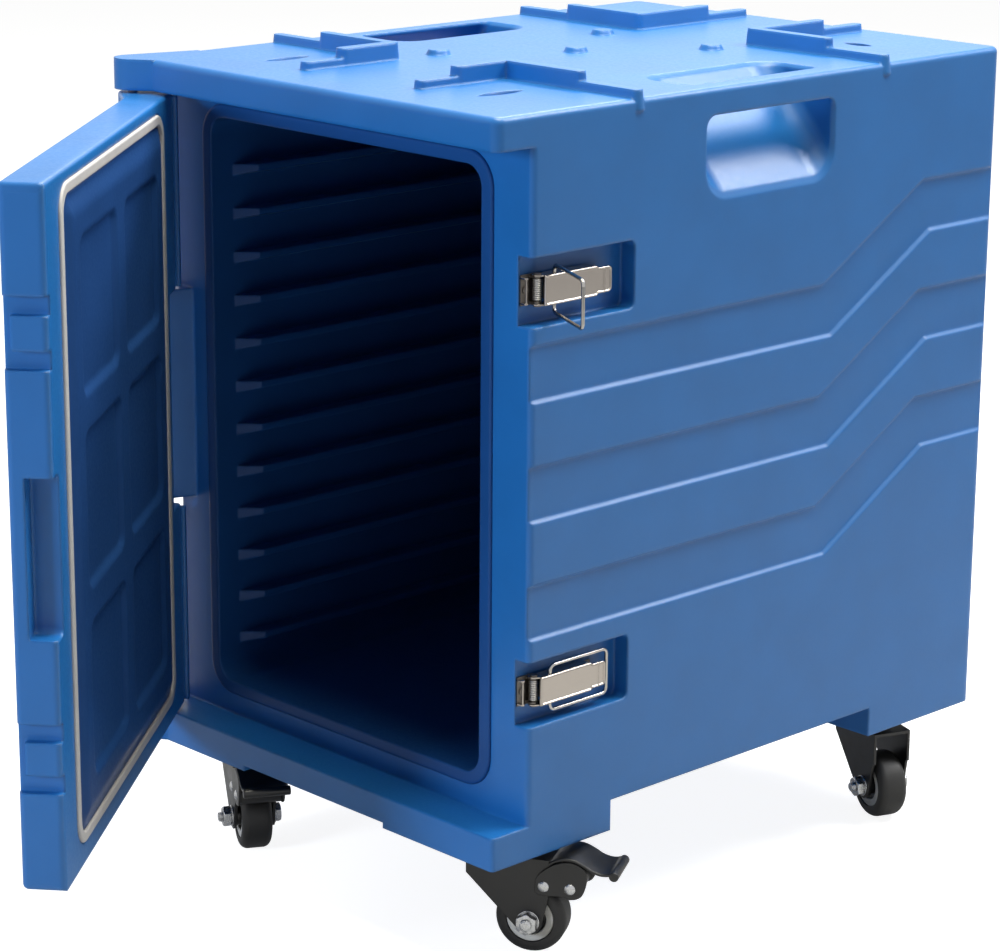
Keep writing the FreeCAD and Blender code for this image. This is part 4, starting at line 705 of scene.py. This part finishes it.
class CART_OT_press_levers(bpy.types.Operator):
    """Presses the latch levers: a plate with a rolled rim and a narrower tip, and two flanges with eyes"""
    bl_idname = "cart.press_levers"
    bl_label = "Latch levers"

    def execute(self, context):
        start, tip, corner, rim = LEVER.start, LEVER.tip, LEVER.corner, LEVER.rim
        rows = np.linspace(start, tip, LEVER.rows)[:, None]
        narrower = eased((rows - LEVER.shoulder) / LEVER.step)
        half = LEVER.half + narrower * (LEVER.tip_half - LEVER.half)
        halves = row_halves(rows, half, -tip, tip, corner)
        across = np.linspace(-1, 1, LEVER.columns) * halves
        # The rim is a half round along the plate's edge, and a crease crosses the tip
        edge = np.minimum(inside(across, rows, half, -tip, tip, corner), rows - start)
        rolled = rim * np.sqrt(np.maximum(0, 1 - (edge / rim - 1) ** 2))
        beside = (rows - tip + LEVER.crease) / rim
        crease = LEVER.crease_high * np.sqrt(np.maximum(0, 1 - beside ** 2))
        under = np.full_like(rows, LEVER.face - LEVER.sheet)
        side = np.hstack([across, halves, -halves])
        out = np.hstack([LEVER.face + np.maximum(rolled, crease), under, under])
        flange = np.vstack([arc((0, 0), LEVER.eye, 250, 110, 15), LEVER_FLANGE])
        walls = np.array([[LEVER.half - LEVER.sheet], [LEVER.half]])
        for latch in LATCHES:
            shapes = [sheet(lever_points(latch, rows, out, side), ends=True)]
            for turned_over in (1, -1):
                wall = lever_points(latch, flange[:, 0], flange[:, 1], turned_over * walls)
                shapes.append(sheet(wall, ends=True))
            name = f"{latch}_lever_pressing"
            make_piece(name, shapes, f"{latch}_lever", "lever_steel", f"latch_{latch}_lever")
        return {"FINISHED"}


class CART_OT_press_bases(bpy.types.Operator):
    """Presses the latch bases: a floor plate, ears for the pin and a frame with a front bar"""
    bl_idname = "cart.press_bases"
    bl_label = "Latch bases"

    def execute(self, context):
        radius, low = BASE_EAR.radius, BASE_PLATE[0][1]
        front, back, top, bend = BASE_FRAME.front, BASE_FRAME.back, BASE_FRAME.top, BASE_FRAME.round
        ear = np.vstack([arc((0, 0), radius, 0, 180, 25), [[-radius, low], [radius, low]]])
        post = np.vstack([
            arc((back - bend, top - bend), bend, 0, 90, 7),
            arc((front + bend, top - bend), bend, 90, 180, 7),
            [[front, low], [back, low]],
        ])
        # The bar is round: 24 points, 15 degrees apart
        bar = arc((front + bend, top - BASE_FRAME.bar), BASE_FRAME.bar, 0, 345, 24)
        inner, outer = BASE_EAR.inner, BASE_EAR.outer
        # Each shape is an outline of (along, out) carried across the base from one height to another
        plate = [
            (BASE_PLATE, -BASE_PLATE_HALF, BASE_PLATE_HALF), (BASE_FOOT, -BASE_FOOT_HALF, BASE_FOOT_HALF),
            (ear, inner, outer), (ear, -outer, -inner),
        ]
        rim = [(bar, -inner, inner), (post, inner, outer), (post, -outer, -inner)]
        for latch in LATCHES:
            # The plate, foot and ears take the bases' finish, darkened as painted shade; the frame keeps the
            # levers' bright one
            shapes = self.carried(latch, plate)
            make_piece(f"{latch}_base_pressing", shapes, "cabinet", "latch_steel", f"latch_{latch}_base")
            make_piece(f"{latch}_base_frame", self.carried(latch, rim), "cabinet", "lever_steel")
        return {"FINISHED"}

    def carried(self, latch, runs):
        """The outlines of a latch's base, each carried between its two heights."""
        shapes = []
        for outline, start, end in runs:
            along, out = np.array(outline).T
            shapes.append(sheet(lever_points(latch, along, out, np.array([[start], [end]])), ends=True))
        return shapes


class CART_OT_wind_springs(bpy.types.Operator):
    """Winds the latch springs as round wire round their pins"""
    bl_idname = "cart.wind_springs"
    bl_label = "Latch springs"

    def execute(self, context):
        sizes = context.scene.cart_sizes
        # A helix: the coil's radius turned by an angle, while the height grows steadily with it
        turns = np.linspace(0, sizes.coil_turns, sizes.coil_turns * COIL_STEPS + 1)
        out = np.stack([np.cos(TURN * turns), np.sin(TURN * turns), np.zeros_like(turns)], axis=-1)
        rise = (turns[:, None] / sizes.coil_turns - 0.5) * COIL_LONG * UP
        for latch in LATCHES:
            path = joint_place(f"{latch}_lever_pivot") + COIL_RADIUS * out + rise
            coil = tube(path, out, sizes.coil_wire / MM, 10)
            make_piece(f"{latch}_spring_coil", [coil], "cabinet", "spring_steel", f"latch_{latch}_spring")
        return {"FINISHED"}


class CART_OT_bend_bails(bpy.types.Operator):
    """Bends the latch bails from round wire"""
    bl_idname = "cart.bend_bails"
    bl_label = "Latch bails"

    def execute(self, context):
        wire = context.scene.cart_sizes.bail_wire / MM
        # Half of the loop as (reach, height): stub, bend, arm, bend and half of the cross bar
        half = np.vstack([
            [[0, BAIL_STUB]],
            arc((BAIL_BEND, BAIL_HALF - BAIL_BEND), BAIL_BEND, 180, 90, 9),
            arc((BAIL_LONG - BAIL_BEND, BAIL_HALF - BAIL_BEND), BAIL_BEND, 90, 0, 9),
        ])
        loop = np.vstack([half, half[::-1] * [1, -1]])
        for latch in LATCHES:
            joint = f"{latch}_bail_pivot"
            # The joint's upper limit is the way back to where the bail lies folded on its lever
            swung = math.radians(JOINTS[joint]["range_deg"][1])
            reach = np.array([math.sin(swung), math.cos(swung), 0.0])
            path = joint_place(joint) + loop[:, :1] * reach + loop[:, 1:] * UP
            sideways = np.broadcast_to(np.cross(reach, UP), path.shape)
            shapes = [tube(path, sideways, wire, 16)]
            make_piece(f"{latch}_bail_wire", shapes, f"{latch}_bail", "bail_steel", f"latch_{latch}_bail")
        return {"FINISHED"}


class CART_OT_mould_wheels(bpy.types.Operator):
    """Turns the tyres, cores and hub covers with their rounded sections"""
    bl_idname = "cart.mould_wheels"
    bl_label = "Wheels"

    def execute(self, context):
        shoulder = context.scene.cart_sizes.tyre_round / MM
        tyre = rounded_section(TYRE.bore, TYRE.outside, TYRE.half, TYRE.bore_round, shoulder, 9)
        core = rounded_section(CORE.bore, CORE.outside, CORE.half, CORE.round, CORE.round, 4)
        sections = (
            ("tyre", tyre, 72, "tyre"),
            ("wheel_core", core, 64, "core_grey"),
            ("wheel_hub", self.cover(), 48, "hub_dark"),
        )
        for caster in CASTERS:
            for part, section, sides, slot in sections:
                shapes = [turned(caster, "wheel_spin", section, sides)]
                name = f"{caster}_{part}_ring"
                make_piece(name, shapes, f"{caster}_wheel", slot, f"caster_{caster}_{part}")
        return {"FINISHED"}

    def cover(self):
        """The hub's section: a cover's bore, round-edged nose, floor and bead, and the same behind it."""
        nose, wide, bend = HUB.nose, HUB.nose_radius, HUB.nose_round
        face, outside = HUB.face, HUB.outside
        half = np.vstack([
            [[HUB.bore, nose]], arc((wide - bend, nose - bend), bend, 90, 0, 4),
            [[wide, face + HUB_SLOPE.high], [wide + HUB_SLOPE.wide, face]],
            arc((outside - HUB_BEAD.inset, face + HUB_BEAD.lift), HUB_BEAD.radius, 200, -20, 7),
            [[outside, face]],
        ])
        return np.vstack([half, half[::-1] * [1, -1]])


def hexagon(caster, size, start, side, sides=72):
    """A chamfered hexagon on an axle: at each angle the lesser of the flats' and the chamfers' radius."""
    angle = np.linspace(0, TURN, sides, endpoint=False)
    half, thick = size.flats / 2, size.thick
    flats = half / np.cos((angle + TURN / 12) % (TURN / 6) - TURN / 12)
    depth = np.concatenate([HEX_DEPTHS, thick - HEX_DEPTHS[::-1]])
    chamfer = HEX_CHAMFER.start * half + HEX_CHAMFER.slope * np.minimum(depth, thick - depth)
    bore = np.full(sides, size.bore)
    radius = np.vstack([bore, np.minimum(flats, chamfer[:, None]), bore])
    height = start + side * np.concatenate([depth[:1], depth, depth[-1:]])[:, None]
    trail, up = radius * np.cos(angle), radius * np.sin(angle)
    return sheet(caster_points(caster, "wheel_spin", trail, height, up), wrap_rows=True)


def threaded_end(caster, start, side, sides=40, rows=26):
    """A bolt's end: its radius falls by a triangle wave of height and angle, which winds as a thread."""
    pitch, end, blunt = THREAD.pitch, THREAD.long, THREAD.point
    depth = np.linspace(0, end, rows)[:, None]
    angle = np.linspace(0, TURN, sides, endpoint=False)[None]
    wave = np.abs((depth / pitch + angle / TURN) % 1 * 2 - 1)
    point = np.minimum(1, (end - depth) / pitch)
    radius = (SHANK_RADIUS - THREAD.deep * wave) * (blunt + (1 - blunt) * point)
    trail, up = radius * np.cos(angle), radius * np.sin(angle)
    return sheet(caster_points(caster, "wheel_spin", trail, start + side * depth, up), ends=True)


class CART_OT_turn_axles(bpy.types.Operator):
    """Turns the axle bolts with chamfered heads and nuts, washers and threaded ends"""
    bl_idname = "cart.turn_axles"
    bl_label = "Axle bolts"

    def execute(self, context):
        bore, radius, thick, edge = WASHER.bore, WASHER.radius, WASHER.thick, WASHER.edge
        washer = np.array([
            [bore, 0], [radius - edge, 0], [radius, edge], [radius, thick - edge], [radius - edge, thick],
            [bore, thick],
        ])
        seat = FORK_FACE + thick
        # The shank and the threaded end meet inside the nut
        joined = THREAD.into_nut - seat - NUT.thick
        shank = [[SHANK_RADIUS, seat], [SHANK_RADIUS, joined]]
        for caster in CASTERS:
            shapes = [
                turned(caster, "wheel_spin", shank, 40, closed=False),
                turned(caster, "wheel_spin", washer + [0, FORK_FACE], 48),
                turned(caster, "wheel_spin", washer * [1, -1] - [0, FORK_FACE], 48),
                hexagon(caster, NUT, -seat, -1),
                hexagon(caster, HEAD, seat, 1),
                threaded_end(caster, joined, -1),
            ]
            make_piece(f"{caster}_axle_bolt", shapes, f"{caster}_fork", "zinc", f"caster_{caster}_axle")
        return {"FINISHED"}


class CART_OT_head_rivets(bpy.types.Operator):
    """Turns the brake pins with low domed heads"""
    bl_idname = "cart.head_rivets"
    bl_label = "Brake pins"

    def execute(self, context):
        radius, head, high, waist = PIN.radius, PIN.head, PIN.crown, PIN.waist
        face = PEDAL.face
        # A head is a cap of a ball, whose radius follows from the head's radius and height. Its arc
        # ends half a degree from the top, where a face closes it.
        ball = (head ** 2 + high ** 2) / (2 * high)
        rim = math.degrees(math.asin((ball - high) / ball))
        crown = arc((0, face + high - ball), ball, rim, 89.5, 8)
        half = np.vstack([[[radius, waist], [radius, face]], crown])
        outline = np.vstack([half[::-1] * [1, -1], half])
        pins = (("brake_pivot", (0.0, 0.0), "fork"), ("brake_rivet", SHOE.place, "pedal"))
        for caster in BRAKED:
            for pin, offset, body in pins:
                shapes = [turned(caster, "brake", outline, 40, closed=False, offset=offset)]
                name = f"{caster}_{pin}"
                make_piece(f"{name}_pin", shapes, f"{caster}_{body}", "zinc", f"caster_{name}")
        return {"FINISHED"}


class CART_OT_press_pedals(bpy.types.Operator):
    """Presses the brake pedals: smooth cheeks, a flowing tread with a rolled end, and the shoe"""
    bl_idname = "cart.press_pedals"
    bl_label = "Brake pedals"

    def execute(self, context):
        face, edge = PEDAL.face, PEDAL.edge
        inner = face - PEDAL.plate
        # A cheek: rings of its outline, drawn in at both faces by the round of its edge
        cheek = flowing(CHEEK, loop=True)
        heights = np.array([inner, inner + edge, face - edge, face])[:, None]
        drawn_in = np.array([edge, 0, 0, edge])[:, None, None]
        rings = cheek - drawn_in * left_of(cheek, closed=True)
        # The tread: a rounded bar's section, wide along the axle and thin, carried along a flowing line
        line = flowing(TREAD, loop=False)
        section = rounded_section(-face, face, TREAD_HALF, TREAD_ROUND, TREAD_ROUND, 5)
        plate = line[:, None] + (TREAD_HALF + section[None, :, 1:]) * left_of(line, closed=False)[:, None]
        shoe = rounded_section(SHOE.bore, SHOE.radius, inner, SHOE.bore_round, SHOE.round, 4)
        # The tread's end is rolled: a round bar along the axle with round edges
        bar = arc((ROLL.radius - ROLL.edge, face - ROLL.edge), ROLL.edge, 0, 90, 5)
        roll = np.vstack([bar[::-1] * [1, -1], bar])
        for caster in BRAKED:
            shapes = []
            for side in (1, -1):
                wall = caster_points(caster, "brake", rings[..., 0], side * heights, rings[..., 1])
                shapes.append(sheet(wall, ends=True))
            tread = caster_points(caster, "brake", plate[..., 0], section[None, :, 0], plate[..., 1])
            shapes.append(sheet(tread, ends=True))
            shapes.append(turned(caster, "brake", shoe, 40, offset=SHOE.place))
            shapes.append(turned(caster, "brake", roll, 32, closed=False, offset=ROLL.place))
            name = f"{caster}_pedal_pressing"
            make_piece(name, shapes, f"{caster}_pedal", "caster_black", f"caster_{caster}_brake_pedal")
        return {"FINISHED"}


# The stage

def facing(place, back, right):
    """A transform at a place, with its axes to the right, up and back."""
    matrix = np.eye(4)
    matrix[:3] = np.stack([right, np.cross(back, right), back, place], axis=-1)
    return Matrix(matrix.tolist())


def soft_box(name, place, aim, size, watts, tint, mirrored):
    """A square lamp, in metres, that faces a point; an unmirrored one makes no highlight."""
    data = bpy.data.lights.new(name, "AREA")
    data.shape = "SQUARE"
    data.size = size
    data.energy = watts
    data.color = linear(tint)[:3]
    lamp = bpy.data.objects.new(name, data)
    lamp.visible_glossy = mirrored
    bpy.context.scene.collection.objects.link(lamp)
    back = np.array(place, float) - np.array(aim, float)
    back /= np.linalg.norm(back)
    right = np.cross(UP, back)
    lamp.matrix_world = facing(place, back, right / np.linalg.norm(right))


class CART_OT_set_stage(bpy.types.Operator):
    """Sets the floor, the white surroundings, the soft boxes and the camera"""
    bl_idname = "cart.set_stage"
    bl_label = "Stage"

    def execute(self, context):
        scene = context.scene
        sizes = scene.cart_sizes
        scene.view_settings.view_transform = "Standard"
        self.lay_floor(tuple(scene.cart_colours.floor))
        self.fill_surroundings(scene)
        for name, (place, aim, size, tint, mirrored) in SOFT_BOXES.items():
            watts = getattr(sizes, f"{name}_light")
            soft_box(f"{name} box", place, aim, size, watts, tint, mirrored)
        self.place_camera(scene)
        return {"FINISHED"}

    def lay_floor(self, colour, half=6.0, glow=0.9, reflected=0.2):
        """A wide square, white to the camera and darker in reflections, which keeps the cart's shadow."""
        mesh = bpy.data.meshes.new("floor")
        corners = [(-half, -half, 0), (half, -half, 0), (half, half, 0), (-half, half, 0)]
        mesh.from_pydata(corners, [], [(0, 1, 2, 3)])
        floor = bpy.data.objects.new("floor", mesh)
        bpy.context.scene.collection.objects.link(floor)
        tree, _ = new_finish("pale floor")
        path = add(tree, "ShaderNodeLightPath").outputs
        mirrored = {0: path["Is Glossy Ray"], 1: path["Is Transmission Ray"]}
        mirrored = add(tree, "ShaderNodeMath", mirrored, operation="MAXIMUM")
        mirrored = add(tree, "ShaderNodeMath", {0: mirrored, 1: reflected}, operation="MULTIPLY")
        seen = {0: path["Is Camera Ray"], 1: mirrored}
        seen = add(tree, "ShaderNodeMath", seen, operation="MAXIMUM")
        level = add(tree, "ShaderNodeMapRange", {"Value": seen, "To Min": 0.0, "To Max": glow})
        white = add(tree, "ShaderNodeEmission", {"Strength": level})
        matt = add(tree, "ShaderNodeBsdfDiffuse", {"Color": colour})
        both = add(tree, "ShaderNodeAddShader", {0: matt, 1: white})
        add(tree, "ShaderNodeOutputMaterial", {"Surface": both})
        mesh.materials.append(bpy.data.materials["pale floor"])

    def fill_surroundings(self, scene, glow=1.0, fill=0.08):
        """White to the camera and in reflections, and only a weak fill light on the cart."""
        scene.world = bpy.data.worlds.new("white surroundings")
        scene.world.use_nodes = True
        tree = scene.world.node_tree
        tree.nodes.clear()
        path = add(tree, "ShaderNodeLightPath").outputs
        seen = {0: path["Is Camera Ray"], 1: path["Is Glossy Ray"]}
        seen = add(tree, "ShaderNodeMath", seen, operation="MAXIMUM")
        seen = {0: seen, 1: path["Is Transmission Ray"]}
        seen = add(tree, "ShaderNodeMath", seen, operation="MAXIMUM")
        level = add(tree, "ShaderNodeMapRange", {"Value": seen, "To Min": fill, "To Max": glow})
        light = add(tree, "ShaderNodeBackground", {"Color": (1, 1, 1, 1), "Strength": level})
        add(tree, "ShaderNodeOutputWorld", {"Surface": light})

    def place_camera(self, scene):
        """The pinhole camera whose picture of the cart lies on the photograph."""
        around, above, roll = (math.radians(d) for d in (CAMERA_AZIMUTH, CAMERA_ELEVATION, CAMERA_ROLL))
        level = math.cos(above)
        back = np.array([math.sin(around) * level, -math.cos(around) * level, math.sin(above)])
        right = np.array([math.cos(around), math.sin(around), 0.0])
        right = math.cos(roll) * right - math.sin(roll) * np.cross(back, right)
        axes = np.array([right, np.cross(back, right), back])
        data = bpy.data.cameras.new("camera")
        data.sensor_fit = "HORIZONTAL"
        data.sensor_width = SENSOR
        data.lens = FOCAL_PIXELS / PICTURE_WIDE * SENSOR
        data.clip_end = 50.0
        camera = bpy.data.objects.new("camera", data)
        scene.collection.objects.link(camera)
        camera.matrix_world = facing((CAMERA_AIM + CAMERA_OFFSET @ axes) * MM, back, right)
        scene.camera = camera


# The add-on

OPERATORS = (
    CART_OT_mix_finishes, CART_OT_mould_door, CART_OT_press_levers, CART_OT_press_bases,
    CART_OT_wind_springs, CART_OT_bend_bails, CART_OT_mould_wheels, CART_OT_turn_axles,
    CART_OT_head_rivets, CART_OT_press_pedals, CART_OT_set_stage,
)


class CART_PT_pieces(bpy.types.Panel):
    """Lists the cart's pieces, sizes and colours"""
    bl_idname = "CART_PT_pieces"
    bl_label = "Food transport cart"
    bl_space_type = "VIEW_3D"
    bl_region_type = "UI"
    bl_category = "Cart"

    def draw(self, context):
        for operator in OPERATORS:
            self.layout.operator(operator.bl_idname)
        for group in (context.scene.cart_sizes, context.scene.cart_colours):
            box = self.layout.box()
            for name in group.__annotations__:
                box.prop(group, name)


CLASSES = (CartColours, CartSizes, *OPERATORS, CART_PT_pieces)


def register():
    for item in CLASSES:
        bpy.utils.register_class(item)
    bpy.types.Scene.cart_colours = PointerProperty(type=CartColours)
    bpy.types.Scene.cart_sizes = PointerProperty(type=CartSizes)


def unregister():
    del bpy.types.Scene.cart_sizes
    del bpy.types.Scene.cart_colours
    for item in reversed(CLASSES):
        bpy.utils.unregister_class(item)


def main():
    register()
    for operator in OPERATORS:
        group, name = operator.bl_idname.split(".")
        getattr(getattr(bpy.ops, group), name)()


if __name__ == "__main__":
    main()
